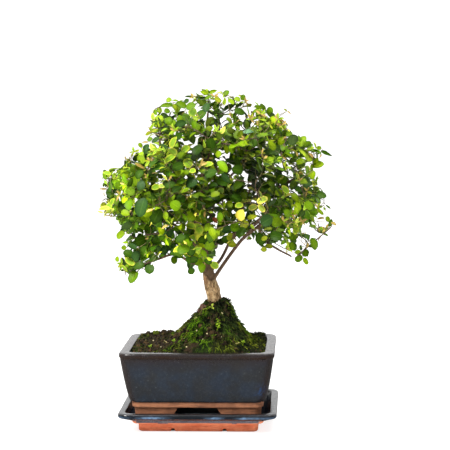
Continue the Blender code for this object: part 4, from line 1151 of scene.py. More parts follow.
def side_of(ahead, turn):
    """A direction square to ahead, turned round it."""
    first = unit(np.cross(ahead, (0.24, 0.31, 0.92)))
    second = np.cross(ahead, first)
    return first * math.cos(turn) + second * math.sin(turn)


def way_along(path):
    """Length of the path up to each of its points."""
    return np.concatenate([[0.0], np.cumsum(np.linalg.norm(np.diff(path, axis=0), axis=1))])


def at_length(path, lengths, length):
    """Place and direction at a length along the path."""
    place = np.array([np.interp(length, lengths, path[:, axis]) for axis in range(3)])
    index = min(np.searchsorted(lengths, length), len(path) - 1)
    ahead = unit(path[max(index, 1)] - path[max(index, 1) - 1])
    return place, ahead


def add_rosette(shapes, room, root, ahead, rng):
    """A tuft of small new leaves at the tip of a twig."""
    turn = rng.uniform(0, 2 * math.pi)
    for _ in range(rng.randint(*ROSETTE_LEAVES)):
        turn += GOLDEN_TURN
        add_leaf(shapes, room, root, side_of(ahead, turn), ahead * rng.uniform(0.8, 2.2), 1.0, rng)


def add_shoot(shapes, room, root, side, ahead, turn, rng):
    """A short side shoot with its own small leaves."""
    outwards = unit(root - np.array(CROWN_CENTRE))
    length = rng.uniform(*SHOOT_LENGTHS)
    first = unit(side + ahead * 0.7)
    last = unit(first + outwards * 0.6 + (0, 0, rng.uniform(-0.1, 0.5)))
    path = np.array([root, root + first * length * 0.45, root + (first * 0.45 + last * 0.55) * length])
    path, _ = smooth_path(path, TWIG_STEP)
    if not in_leafage(path[-1:], SHOOT_STRAY) or in_gap(path):
        return
    radii = np.linspace(SHOOT_RADIUS, SHOOT_RADIUS * 0.7, len(path))
    tint = np.array(TWIG_BROWN) * 0.5 + np.array(TWIG_GREEN) * rng.uniform(0.3, 0.7)
    shapes.add(*tube(path, radii, 4, pointed=True), tint, slot=1)
    lengths = way_along(path)
    place = SHOOT_START
    while place < lengths[-1] - SHOOT_END_ROOM:
        here, way = at_length(path, lengths, place)
        fresh = 0.35 + 0.5 * place / lengths[-1] * rng.random()
        turn += math.pi / 2 + rng.uniform(-SHOOT_TURN, SHOOT_TURN)
        for half in (0, 1):
            add_leaf(shapes, room, here, side_of(way, turn + half * math.pi), way, fresh, rng)
        place += SHOOT_SPACING * rng.uniform(*SHOOT_STEPS)
    here, way = at_length(path, lengths, lengths[-1])
    if rng.random() < SHOOT_ROSETTES:
        add_rosette(shapes, room, here, way, rng)
    else:
        add_leaf(shapes, room, here, side_of(way, turn), way * 2, rng.uniform(0.4, 1.0), rng)


def dress_twig(shapes, room, path, is_tip, rng):
    """Opposite leaves and side shoots along a twig, and a tuft of new leaves at its tip."""
    lengths = way_along(path)
    turn = rng.uniform(0, math.pi)
    place = rng.uniform(*TWIG_STARTS)
    while place < lengths[-1] - TWIG_END_ROOM:
        here, ahead = at_length(path, lengths, place)
        share = place / lengths[-1]
        turn += math.pi / 2 + rng.uniform(-NODE_TURN, NODE_TURN)
        for half in (0, 1):
            side = side_of(ahead, turn + half * math.pi)
            if rng.random() < SHOOT_SHARE:
                add_shoot(shapes, room, here, side, ahead, turn, rng)
            else:
                fresh = share * share * rng.uniform(0.2, 1.0) if is_tip else rng.uniform(0.0, 0.5)
                add_leaf(shapes, room, here, side, ahead, fresh, rng)
        place += NODE_SPACING * rng.uniform(*NODE_STEPS)
    if is_tip:
        add_rosette(shapes, room, *at_length(path, lengths, lengths[-1]), rng)


def fine_twig(tree, chain, rng):
    """Path and radii of a twig along a chain of joints, and whether it ends in a tip."""
    path, places = smooth_path([tree.places[joint] for joint in chain], TWIG_STEP)
    ends = [tree.radii[joint] for joint in chain]
    ends[0] = min(ends[0], ends[1] * 1.3)
    radii = np.interp(places, range(len(ends)), ends) * TWIG_SLIMMING
    sway = np.array([scattered(rng, TWIG_SWAY) for _ in path])
    sway[0] = sway[-1] = 0
    path = path + sway
    kept = 2
    while kept < len(path) and in_leafage(path[kept : kept + 1], TWIG_STRAY):
        kept += 1
    return path[:kept], radii[:kept], kept < len(path) or not tree.children(chain[-1])


def reaching_twig(twigs, goal, near=None):
    """The spray nearest to the goal, or to a place near its start, and a thin twig from it to there."""
    goal = np.array(goal, float)
    near = goal if near is None else np.array(near, float)
    _, spray, place, ahead = min(
        ((np.linalg.norm(point - near), spray, index, number)
         for spray, paths in twigs.items()
         for number, (path, _, _) in enumerate(paths)
         for index, point in enumerate(path[1:-1], 1)),
    )
    path = twigs[spray][ahead][0]
    start = path[place]
    gap = np.linalg.norm(goal - start)
    growth = unit(path[place + 1] - path[place - 1])
    path, _ = smooth_path([start, start + (growth + unit(goal - start)) * gap * 0.25, goal], TWIG_STEP)
    return spray, (path, np.linspace(0.55, 0.4, len(path)), True)


def add_shown_leaf(shapes, room, ends, centre, length, width, turn, name, rng, light=1.0):
    """A leaf that stands out, on a thin stem from the nearest twig."""
    places, ways, sprays = ends
    centre = np.array(centre, float)
    lean = rng.uniform(-0.45, 0.45)
    along = unit(np.array((math.cos(math.radians(turn)), lean, math.sin(math.radians(turn)))))
    face = np.array((rng.uniform(-0.45, 0.45), -1.0, rng.uniform(0.1, 0.9)))
    for _ in range(SHOWN_TRIES):
        pose = Pose(centre - along * length / 2, along, unit(face - along * (face @ along)), length, width)
        outline = pose.outline()
        shape = room.clear(outline, centre)
        if shape:
            break
        centre = centre - (0, 2.0, 0)
    else:
        return False
    room.add(shape, centre)
    room.sight.show(centre, 0.36 * (length + width) / 2)
    nearest = int(np.argmin(np.linalg.norm(places - pose.root, axis=1)))
    start = places[nearest]
    gap = np.linalg.norm(pose.root - start)
    straight = unit(pose.root - start)
    bend = start + (ways[nearest] * max(0.0, ways[nearest] @ straight) * 0.6 + straight) * gap * 0.4
    path, _ = smooth_path([start, bend, pose.root], TWIG_STEP)
    spray_shapes = shapes[sprays[nearest]]
    brown = np.array(TWIG_BROWN) * 0.5 + np.array(TWIG_GREEN) * 0.5
    radii = np.linspace(SHOOT_RADIUS, STALK_RADIUS, len(path))
    spray_shapes.add(*tube(path, radii, 4, pointed=True), brown, slot=1)
    # The light factor is painted light and shade, given for the fill leaves
    bright = rng.uniform(0.9, 1.1) * light
    form = rng.choice(("oval", "pointed")) if width < 0.6 * length else "round"
    variegated = 1.0 if name in ("yellow", "lime") else rng.uniform(0.0, 0.35)
    tint = np.array(PALETTE[name]) * bright
    shape_leaf(spray_shapes, path[-1], pose.root, pose, tint, variegated, form, rng)
    return True


def stem_starts(twigs):
    """Places on the twigs where a stem may start, the twigs' directions there, and their sprays."""
    places = []
    ways = []
    sprays = []
    for spray, paths in twigs.items():
        for path, _, _ in paths:
            places += list(path[1:])
            ways += [unit(step) for step in np.diff(path, axis=0)]
            sprays += [spray] * (len(path) - 1)
    return np.array(places), np.array(ways), sprays


class Cover:
    """Square millimetres of the view from the front that a leaf covers."""

    CORNER = np.array((-130, 140))
    SIZE = (285, 225)

    def __init__(self, blades):
        self.covered = np.zeros(self.SIZE, bool)
        denser = {}
        for rows, columns in ((BLADE_ROWS, BLADE_COLUMNS), (SMALL_BLADE_ROWS, SMALL_BLADE_COLUMNS)):
            weights = np.kron(self.between(len(rows), 20), self.between(len(columns), 12))
            denser[2 * len(rows) * len(columns)] = weights
        for points in blades:
            if len(points) in denser:
                weights = denser[len(points)]
                seen = seen_from_front(weights @ points[: weights.shape[1]])
                self.covered[tuple(np.floor(seen - self.CORNER).astype(int).T)] = True
        grid = np.meshgrid(*(np.arange(size) for size in self.SIZE), indexing="ij")
        self.places = np.stack(grid, -1) + self.CORNER

    @staticmethod
    def between(count, samples):
        """Weights that put the samples evenly between a row of points."""
        places = np.linspace(0, count - 1, samples)
        return np.array([np.interp(places, range(count), row) for row in np.eye(count)]).T

    def near(self, x, z, radius):
        return np.hypot(self.places[..., 0] + 0.5 - x, self.places[..., 1] + 0.5 - z) < radius

    def holes(self, radius):
        """Middles of the uncovered discs of this radius in the leafage, from the lowest to the highest."""
        reach = math.ceil(radius)
        free = np.ones(self.SIZE, bool)
        for step_x in range(-reach, reach + 1):
            for step_z in range(-reach, reach + 1):
                if math.hypot(step_x, step_z) <= radius:
                    free &= ~np.roll(self.covered, (step_x, step_z), (0, 1))
        return [tuple(place) for place in self.places[free] if open_place(place, radius)]


def place_at(x, z, depth):
    """The place at a depth that appears at x and z from the front."""
    share = 1 - depth / CAMERA_PLACE[1]
    return np.array((CAMERA_PLACE[0] + (x - CAMERA_PLACE[0]) * share, depth,
                     CAMERA_PLACE[2] + (z - CAMERA_PLACE[2]) * share))


def open_place(place, radius):
    """True where a hole of this radius is inside the leafage and outside the crown's own gaps."""
    x, z = place
    gap_x, gap_z, gap_radius = np.array(GAPS).T
    outside = (np.hypot(gap_x - x, gap_z - z) > gap_radius + 0.6 * radius).all()
    return outside and in_leafage(np.array(((x, 0.0, z),)), -radius - FILL_MARGIN)


def fill_colour(x, z, rng):
    """Fresh leaves near the crown's edge, deep green ones where it is shady."""
    if not in_leafage(np.array(((x, 0.0, z),)), FILL_EDGE):
        return "fresh"
    return "deep" if math.hypot(*from_shady(x, z)) < 0.8 else rng.choice(("deep", "mid", "mid", "mid"))


def add_fill_leaves(shapes, room, ends, rng):
    """Leaves farther back, which close the sight through the crown, the widest holes first."""
    cover = Cover([points for shape in shapes.values() for points in shape.points])
    for radius, length in FILL_LENGTHS:
        for x, z in cover.holes(radius):
            if (cover.covered & cover.near(x, z, radius)).any():
                continue
            colour = fill_colour(x, z, rng)
            for _ in range(FILL_TRIES):
                place = place_at(x, z, rng.uniform(*FILL_DEPTHS))
                width = length * rng.uniform(0.7, 0.95)
                turn = rng.uniform(0, 360)
                # The last value is the painted light and shade at this place
                leaf = (place, length, width, turn, colour, rng, painted_light_at(place))
                if add_shown_leaf(shapes, room, ends, *leaf):
                    cover.covered |= cover.near(x, z, 0.38 * length)
                    break


def add_shown_leaves(shapes, room, ends, rng):
    """The single leaves and the tufts of new leaves that stand out."""
    for *centre, length, width, turn, name in SHOWN_LEAVES:
        add_shown_leaf(shapes, room, ends, centre, length, width, turn, name, rng)
    for *middle, count, length, name in TUFTS:
        outwards = math.degrees(math.atan2(middle[2] - CROWN_CENTRE[2], middle[0] - CROWN_CENTRE[0]))
        for number in range(count):
            turn = outwards + TUFT_SPREAD * (number / (count - 1) - 0.5) + rng.uniform(-25, 25)
            size = length * rng.uniform(0.6, 1.2)
            away = np.array((math.cos(math.radians(turn)), 0, math.sin(math.radians(turn)))) * size * 0.5
            place = np.array(middle) + away + (0, rng.uniform(-4, 4), 0)
            colour = name if rng.random() < 0.55 else rng.choice(("lime", "olive", "fresh"))
            add_shown_leaf(shapes, room, ends, place, size, size * rng.uniform(0.30, 0.50), turn, colour, rng)


def make_foliage(tree, materials):
    """One piece of twigs and fine leaves for each spray of the part."""
    rng = random.Random(SEED + 2)
    room = LeafRoom()
    twigs = {}
    for spray in sorted({spray for spray in tree.sprays if spray is not None}):
        twigs[spray] = [fine_twig(tree, chain, rng) for chain in chains_of(tree, spray)]
    for goal in REACHING_SHOOTS:
        spray, twig = reaching_twig(twigs, goal)
        twigs[spray].append(twig)
    bare = [reaching_twig(twigs, goal, near) for near, goal in BARE_TWIGS]
    all_shapes = {spray: Shapes() for spray in twigs}
    ends = stem_starts(twigs)
    add_shown_leaves(all_shapes, room, ends, rng)
    for spray, paths in twigs.items():
        for path, radii, is_tip in paths:
            all_shapes[spray].add(*tube(path, radii, FINE_TWIG_SIDES, pointed=True), TWIG_BROWN, slot=1)
            dress_twig(all_shapes[spray], room, path, is_tip, rng)
    for spray, (path, radii, _) in bare:
        all_shapes[spray].add(*tube(path, radii * 1.5, FINE_TWIG_SIDES, pointed=True), TWIG_BROWN, slot=1)
    add_fill_leaves(all_shapes, room, ends, rng)
    for spray, shapes in all_shapes.items():
        piece = shapes.build(f"foliage_{spray:02d}", materials)
        finish_piece(piece, "leaves", f"spray_{spray:02d}")


# Wood


def limb_path(limb, step):
    path, places = smooth_path([joint[:3] for joint in limb], step)
    radii = np.interp(places, range(len(limb)), [joint[3] for joint in limb])
    return path, radii


def apply_modifiers(piece):
    """Replaces the piece's mesh by its evaluated one."""
    evaluated = piece.evaluated_get(bpy.context.evaluated_depsgraph_get())
    mesh = bpy.data.meshes.new_from_object(evaluated)
    piece.modifiers.clear()
    old = piece.data
    piece.data = mesh
    bpy.data.meshes.remove(old)


def vectors_of(mesh, kind):
    """Place or normal of each point of a mesh."""
    vectors = np.empty(len(mesh.vertices) * 3)
    mesh.vertices.foreach_get(kind, vectors)
    return vectors.reshape(-1, 3)


def part_points(mesh):
    """Points of a mesh in millimetres and in the part's layout."""
    return (vectors_of(mesh, "co") - np.array(SHIFT)) / MM


def raise_points(mesh, points, relief):
    """Moves each point along its normal by its relief."""
    raised = points + vectors_of(mesh, "normal") * relief[:, None]
    mesh.vertices.foreach_set("co", (raised * MM + np.array(SHIFT)).ravel())
    mesh.update()


def set_attributes(mesh, tints, marks):
    """Tint and marks of each point, in place of any that the mesh has."""
    for name in ("tint", "mark"):
        if name in mesh.attributes:
            mesh.attributes.remove(mesh.attributes[name])
    tint = mesh.color_attributes.new("tint", "FLOAT_COLOR", "POINT")
    tint.data.foreach_set("color", np.column_stack([tints, np.ones(len(tints))]).ravel())
    mark = mesh.attributes.new("mark", "FLOAT_VECTOR", "POINT")
    mark.data.foreach_set("vector", np.asarray(marks, float).ravel())


def blend(first, second, share):
    return np.array(first) * (1 - share) + np.array(second) * share


def wood_radius(points, sample_points, sample_radii):
    """Radius of the limb nearest to each point."""
    radii = np.empty(len(points))
    for start in range(0, len(points), 4000):
        block = points[start:start + 4000, None, :] - sample_points[None]
        gap = np.linalg.norm(block, axis=2) - sample_radii[None]
        radii[start:start + 4000] = sample_radii[gap.argmin(1)]
    return radii


def bark_at(x, y, z, radius):
    """Relief and tint of the bark at a point of a limb with this radius."""
    stretched = Vector((x, y, z * 0.62))
    flakes = noise.noise(stretched * 0.42) + 0.5 * noise.noise(stretched * 0.95)
    cracks = 1 - abs(noise.noise(Vector((x * 0.62, y * 0.62, z * 0.26)))) * 5
    grain = noise.noise(Vector((x * 2.4, y * 2.4, z * 0.8)))
    thick = min(1.0, radius / THICK_WOOD)
    relief = thick * (FLAKE_RELIEF * flakes - CRACK_DEPTH * max(0.0, cracks))
    relief += GRAIN_RELIEF * grain * (0.4 + thick)
    for knot_x, knot_y, knot_z, size, height in KNOTS:
        away = math.dist((x, y, z), (knot_x, knot_y, knot_z)) / size
        relief += height * math.exp(-away * away)
    above_scar = z - SCAR[1] - SCAR_SLOPE * abs(x - SCAR[0]) + 1.2 * flakes
    softness = 2.0 if y < 0 else 12.0
    old_wood = clamp(0.5 - above_scar / softness) * min(1.0, (radius / OLD_WOOD_RADIUS) ** 2)
    if y < 0 and thick > 0.7:
        ridge = 0.75 * math.exp(-((above_scar / 1.2) ** 2))
        groove = 0.6 * math.exp(-(((above_scar - 2.6) / 1.4) ** 2))
        relief += ridge - groove
    tan = blend(BARK_TAN, BARK_PALE, clamp(0.5 + 1.1 * flakes))
    red_x, red_z = (x - RED_PLACE[0]) / RED_REACH[0], (z - RED_PLACE[1]) / RED_REACH[1]
    tan = blend(tan, BARK_RED, 0.6 * math.exp(-math.hypot(red_x, red_z) ** 2))
    tan = blend(tan, BARK_BROWN, min(max(0.9 * max(0.0, cracks) + 0.6 * max(0.0, -flakes), 0.0), 0.9))
    grey = blend(BARK_GREY, BARK_BROWN, clamp(0.5 + 1.2 * grain))
    grey = blend(grey, BARK_TAN, 0.16 * thick)
    return relief, blend(grey, tan, old_wood)


def make_wood(material):
    """Trunk and limbs as one smooth body with bark relief."""
    shapes = Shapes()
    all_points = []
    all_radii = []
    for limb in (TRUNK, *LIMBS.values()):
        path, radii = limb_path(limb, WOOD_STEP)
        sides = TRUNK_SIDES if limb is TRUNK else LIMB_SIDES
        shapes.add(*tube(path, radii, sides), BARK_TAN)
        all_points.append(path)
        all_radii.append(radii)
    wood = shapes.build("bark_wood", [material])
    remesh = wood.modifiers.new("remesh", "REMESH")
    remesh.mode = "VOXEL"
    remesh.voxel_size = WOOD_VOXEL * MM
    relax = wood.modifiers.new("relax", "SMOOTH")
    relax.factor = 0.6
    relax.iterations = 4
    apply_modifiers(wood)
    mesh = wood.data
    points = part_points(mesh)
    radii = wood_radius(points, np.concatenate(all_points), np.concatenate(all_radii))
    tints = np.empty_like(points)
    relief = np.empty(len(points))
    for index, (point, radius) in enumerate(zip(points, radii)):
        relief[index], tints[index] = bark_at(*point, radius)
    raise_points(mesh, points, relief)
    set_attributes(mesh, tints, np.zeros_like(points))
    return finish_piece(wood, "bark", "trunk", angle=180)


# Pot and tray


def rounded_rectangle(half_x, half_y, radius, z, arc_steps=10, side_steps=24):
    """Points of a rounded rectangle at one height, anticlockwise seen from above."""
    points = []
    signs = ((1, 1), (-1, 1), (-1, -1), (1, -1))
    for corner, (sign_x, sign_y) in enumerate(signs):
        centre = np.array((sign_x * (half_x - radius), sign_y * (half_y - radius), z))
        for step in range(arc_steps + 1):
            angle = math.radians(90 * (corner + step / arc_steps))
            points.append(centre + np.array((math.cos(angle), math.sin(angle), 0)) * radius)
        next_x, next_y = signs[(corner + 1) % 4]
        turn = math.radians(90 * (corner + 1))
        side_end = np.array((next_x * (half_x - radius), next_y * (half_y - radius), z))
        side_end = side_end + np.array((math.cos(turn), math.sin(turn), 0)) * radius
        side_start = points[-1]
        for step in range(1, side_steps):
            points.append(side_start + (side_end - side_start) * step / side_steps)
    return np.array(points)


def loft_faces(count, levels):
    """Faces of a closed body through rings, from its underside over its top."""
    faces = [tuple(reversed(range(count)))]
    for level in range(levels - 1):
        low = level * count
        for index in range(count):
            after = (index + 1) % count
            faces.append((low + index, low + after, low + count + after, low + count + index))
    last = (levels - 1) * count
    faces.append(tuple(range(last, last + count)))
    return faces


def lofted(name, rings, materials):
    shapes = Shapes()
    shapes.add(np.concatenate(rings), loft_faces(len(rings[0]), len(rings)), (0.5, 0.5, 0.5))
    return shapes.build(name, materials)


def arc_between(first, second, steps, round_out=True):
    """Profile rows (half x, half y, corner radius, height) on a quarter ellipse between two rows."""
    rows = []
    for step in range(1, steps):
        angle = math.pi / 2 * step / steps
        flat = math.sin(angle)
        steep = 1 - math.cos(angle)
        if not round_out:
            flat, steep = steep, flat
        shares = (steep, steep, steep, flat)
        rows.append(tuple(a + (b - a) * share for a, b, share in zip(first, second, shares)))
    return rows


def dented(rings, amount, scale):
    """The rings with a slow, hand-made unevenness."""
    result = []
    for ring in rings:
        shifted = []
        for point in ring:
            place = Vector(point) * scale
            push = amount * noise.noise(place)
            outwards = unit(np.array((point[0], point[1], 0.0)))
            lift = 0.4 * amount * noise.noise(place + Vector((7, 3, 1)))
            shifted.append(point + outwards * push + np.array((0, 0, lift)))
        result.append(np.array(shifted))
    return result


def boolean_cut(piece, tool):
    tool.hide_render = True
    cut = piece.modifiers.new(tool.name, "BOOLEAN")
    cut.operation = "DIFFERENCE"
    cut.object = tool


def cutter(name, points, faces):
    shapes = Shapes()
    shapes.add(points, faces, (0.5, 0.5, 0.5))
    tool = shapes.build(name, [])
    mesh = bmesh.new()
    mesh.from_mesh(tool.data)
    bmesh.ops.recalc_face_normals(mesh, faces=mesh.faces)
    mesh.to_mesh(tool.data)
    mesh.free()
    return tool


def prism(profile, half_length, along_x):
    """A prism through the pot's foot whose end has the profile's corners (across, height)."""
    points = []
    for end in (-half_length, half_length):
        for across, height in profile:
            points.append((end, across, height) if along_x else (across, end, height))
    count = len(profile)
    faces = [tuple(range(count)), tuple(reversed(range(count, 2 * count)))]
    for corner in range(count):
        after = (corner + 1) % count
        faces.append((corner, corner + count, after + count, after))
    return points, faces


def arch_profile(half_widths):
    """Slanted sides with rounded upper corners."""
    top, bottom = half_widths
    low = POT_FOOT_BOTTOM - 1
    round_off = 2.4
    profile = [(-bottom, low), (bottom, low)]
    for sign in (1, -1):
        steps = range(5) if sign > 0 else range(4, -1, -1)
        for step in steps:
            angle = math.pi / 2 * step / 4
            across = top + 1.0 - round_off * (1 - math.cos(angle))
            profile.append((sign * across, ARCH_HEIGHT - round_off * (1 - math.sin(angle))))
    return profile


def take_off(piece, tools):
    apply_modifiers(piece)
    for tool in tools:
        bpy.data.objects.remove(tool)


def soften_edges(piece, width):
    """Rounds the sharp edges that the cuts left."""
    bevel = piece.modifiers.new("soften", "BEVEL")
    bevel.width = width * MM
    bevel.segments = 2
    bevel.limit_method = "ANGLE"
    bevel.angle_limit = math.radians(WARE_EDGE)
    bevel.use_clamp_overlap = True
    apply_modifiers(piece)


def finish_ware(piece, tools, softness, rule):
    """Takes the tools out of a fired piece, rounds the edges that they leave, and paints it."""
    for tool in tools:
        boolean_cut(piece, tool)
    take_off(piece, tools)
    soften_edges(piece, softness)
    paint(piece, rule)


def paint(piece, rule):
    """Gives each point its marks, and each face its material, by the rule."""
    mesh = piece.data
    points = part_points(mesh)
    marks = np.array([rule(*point)[:3] for point in points])
    set_attributes(mesh, np.full_like(points, 0.5), marks)
    for polygon in mesh.polygons:
        centre = (polygon.center - SHIFT) / MM
        polygon.material_index = rule(*centre)[3]


def profile_rows(corner, rows):
    """Rows (half x, half y, corner radius, height) from sizes, their additions, corner losses and heights."""
    return [(size[0] + more, size[1] + more, corner - less, height) for size, more, less, height in rows]


def rows_between(first, second, shares):
    return [tuple(a + (b - a) * share for a, b in zip(first, second)) for share in shares]


def pot_rings():
    """Rings from the foot's edge over the lip down to the inner floor."""
    lip_bottom = POT_RIM_TOP - POT_LIP_HEIGHT
    rows = profile_rows(POT_CORNER, (
        (POT_FOOT, -0.7, 3.6, POT_FOOT_BOTTOM),
        (POT_FOOT, 0, 3, POT_FOOT_BOTTOM + 0.7),
        (POT_FOOT, 0.3, 3, 20.5),
        (POT_FOOT, 0.6, 3, POT_BAND_BOTTOM - 0.8),
        (POT_BAND, -1.0, 2.6, POT_BAND_BOTTOM - 0.2),
        (POT_BAND, 0, 2, POT_BAND_BOTTOM + 0.6),
        (POT_BAND, 0, 2, 29.0),
        (POT_BAND, 0, 2, POT_GLAZE_BOTTOM - 0.7),
    ))
    rows.append((POT_GLAZE_FOOT[0] - 1.2, POT_GLAZE_FOOT[1] - 1.0, POT_CORNER - 1.6, POT_GLAZE_BOTTOM - 0.5))
    rows += profile_rows(POT_CORNER, ((POT_GLAZE_FOOT, -0.3, 1.2, POT_GLAZE_BOTTOM),))
    neck = [side - POT_LIP_PROUD for side in POT_RIM]
    for share in np.linspace(0.02, 1.0, 20) ** 1.3:
        bow = share**POT_BOW
        half_x, half_y = (low + (high - low) * bow for low, high in zip(POT_GLAZE_FOOT, neck))
        height = POT_GLAZE_BOTTOM + 0.4 + (lip_bottom - 0.3 - POT_GLAZE_BOTTOM - 0.4) * share
        rows.append((half_x, half_y, POT_CORNER - 1, height))
    round_off = 1.6
    inner = [side - POT_RIM_WIDTH for side in POT_RIM]
    neck_end, lip_start, lip_low = profile_rows(POT_CORNER, (
        (neck, 0.05, 1, lip_bottom + 0.1),
        (neck, 0.35, 0.6, lip_bottom + 0.35),
        (POT_RIM, 0, 0, lip_bottom + 1.3),
    ))
    lip_side, lip_high, top_outer, middle = profile_rows(POT_CORNER, (
        (POT_RIM, 0, 0, 80.6),
        (POT_RIM, 0, 0, POT_RIM_TOP - round_off),
        (POT_RIM, -round_off, 1, POT_RIM_TOP),
        (POT_RIM, -5, 2, POT_RIM_TOP + 0.15),
    ))
    top_inner, inner_edge, floor_edge = profile_rows(POT_CORNER, (
        (inner, 1.2, 3, POT_RIM_TOP),
        (inner, 0, 4, POT_RIM_TOP - 1.2),
        (POT_FLOOR, 0, 5, POT_FLOOR_TOP),
    ))
    rows += [neck_end, lip_start, *arc_between(lip_start, lip_low, 4, False), lip_low, lip_side]
    rows += [lip_high, *arc_between(lip_high, top_outer, 6), top_outer, middle]
    rows += [top_inner, *arc_between(top_inner, inner_edge, 4, False), inner_edge]
    rows += [*rows_between(inner_edge, floor_edge, (0.15, 0.4, 0.7)), floor_edge]
    return [rounded_rectangle(*row) for row in rows]


def corner_share(x, y, half_x, half_y, reach):
    """1 at a vertical corner of a rectangle, fading to 0 away from it."""
    away = math.hypot(max(0.0, half_x - abs(x)), max(0.0, half_y - abs(y)))
    return max(0.0, 1 - away / reach)


def pot_rule(x, y, z):
    """Wear (thin brown glaze), blue pooling, paleness and material number at a point of the pot."""
    outer = max(abs(x) / POT_BAND[0], abs(y) / POT_BAND[1])
    glazed = z > POT_GLAZE_BOTTOM - 0.75 and (outer > 0.99 or z > 78)
    lip_bottom = POT_RIM_TOP - POT_LIP_HEIGHT
    streak = 1.3 * noise.noise(Vector((x * 0.05, y * 0.05, 2.5)))
    wear = 0.7 if z > lip_bottom - 0.2 and outer > 1.02 else 0.0
    wear = 1.0 if lip_bottom - 0.2 < z < lip_bottom + 2.6 + streak and outer > 1.02 else wear
    wear = max(wear, 0.7 * fade(z, lip_bottom, 16.0) ** 1.5)
    grown = (z - POT_GLAZE_BOTTOM) / (lip_bottom - POT_GLAZE_BOTTOM)
    half_x = POT_GLAZE_FOOT[0] + 8.6 * clamp(grown) ** POT_BOW
    half_y = POT_GLAZE_FOOT[1] + 7.5 * clamp(grown) ** POT_BOW
    wear = max(wear, 0.9 * corner_share(x, y, half_x - 2.5, half_y - 2.5, 9.0) ** 1.2)
    wear = max(wear, 0.5 * fade(z, POT_GLAZE_BOTTOM, 1.0))
    off_x, off_z = (x - FRONT_POOL[0]) / FRONT_POOL_REACH[0], (z - FRONT_POOL[1]) / FRONT_POOL_REACH[1]
    pool = max(0.0, 1 - math.hypot(off_x, off_z)) if y < 0 else 0.0
    pool *= clamp(0.5 + 2.6 * noise.noise(Vector((x, y, z)) * 0.55))
    pool = max(pool, 0.6 * max(0.0, 1 - math.dist((x, z), BACK_POOL) / BACK_POOL_REACH)) if y > 0 else pool
    pale = max(0.0, noise.noise(Vector((x, y, z)) * 0.045))
    return wear, pool, pale, GLAZED if glazed else UNGLAZED


def make_pot(materials):
    rings = dented(pot_rings(), *POT_DENTS)
    pot = lofted("glazed_pot", rings, materials)
    hollow = [side - POT_FOOT_WALL for side in POT_FOOT]
    recess = [rounded_rectangle(*hollow, 4, height) for height in (POT_FOOT_BOTTOM - 1, POT_RECESS_TOP)]
    tools = [cutter("recess", np.concatenate(recess), loft_faces(len(recess[0]), 2))]
    tools.append(cutter("arch_front", *prism(arch_profile(ARCH_LONG), 60, False)))
    tools.append(cutter("arch_side", *prism(arch_profile(ARCH_SHORT), 80, True)))
    for place in DRAIN_PLACES:
        ends = [(place, 0, POT_RECESS_TOP - 5), (place, 0, POT_FLOOR_TOP + 5)]
        tools.append(cutter("drain", *tube(ends, [DRAIN_RADIUS] * 2, 24)))
    finish_ware(pot, tools, POT_SOFTNESS, pot_rule)
    return finish_piece(pot, "pot_glaze", "pot", angle=WARE_EDGE)


def tray_rings():
    """Rings from the foot over the flared rim down to the tray's floor."""
    edge = 1.7
    inner = [side - TRAY_RIM_WIDTH for side in TRAY_RIM]
    rows = profile_rows(TRAY_CORNER, (
        (TRAY_FOOT, -0.8, 4.6, 0.0),
        (TRAY_FOOT, 0, 4, 0.8),
        (TRAY_FOOT, 0, 4, 5.0),
        (TRAY_FOOT, 0, 4, TRAY_FOOT_HEIGHT - 0.5),
        (TRAY_FOOT, 0.6, 4, TRAY_FOOT_HEIGHT),
        (TRAY_BODY, -0.8, 3.6, TRAY_FOOT_HEIGHT),
        (TRAY_BODY, 0, 3, TRAY_FOOT_HEIGHT + 0.8),
        (TRAY_BODY, 0, 3, TRAY_BODY_TOP - 0.4),
    ))
    flare_low, flare_high, side_low, side_high, top_outer = profile_rows(TRAY_CORNER, (
        (TRAY_BODY, 0.8, 3, TRAY_BODY_TOP),
        (TRAY_RIM, -edge, edge, TRAY_RIM_UNDERSIDE),
        (TRAY_RIM, 0, 0, TRAY_RIM_UNDERSIDE + edge),
        (TRAY_RIM, 0, 0, TRAY_RIM_TOP - edge),
        (TRAY_RIM, -edge, edge, TRAY_RIM_TOP),
    ))
    middle, top_inner, wall_top, floor_edge, floor = profile_rows(TRAY_CORNER, (
        (TRAY_RIM, -4, 2, TRAY_RIM_TOP + 0.05),
        (inner, 1, 2, TRAY_RIM_TOP - 0.1),
        (inner, -0.2, 3, TRAY_RIM_TOP - 1.2),
        (TRAY_FLOOR, 0, 4, TRAY_FLOOR_TOP),
        (TRAY_FLOOR, -0.8, 4.5, TRAY_FLOOR_TOP),
    ))
    rows += [*rows_between(flare_low, flare_high, (0.0, 0.3, 0.65)), flare_high]
    rows += [*arc_between(flare_high, side_low, 5, False), side_low, side_high]
    rows += [*arc_between(side_high, top_outer, 5), top_outer, middle]
    rows += [top_inner, *arc_between(top_inner, wall_top, 4, False), wall_top]
    rows += [*rows_between(wall_top, floor_edge, (0.3, 0.6, 0.85)), floor]
    return [rounded_rectangle(*row) for row in rows]


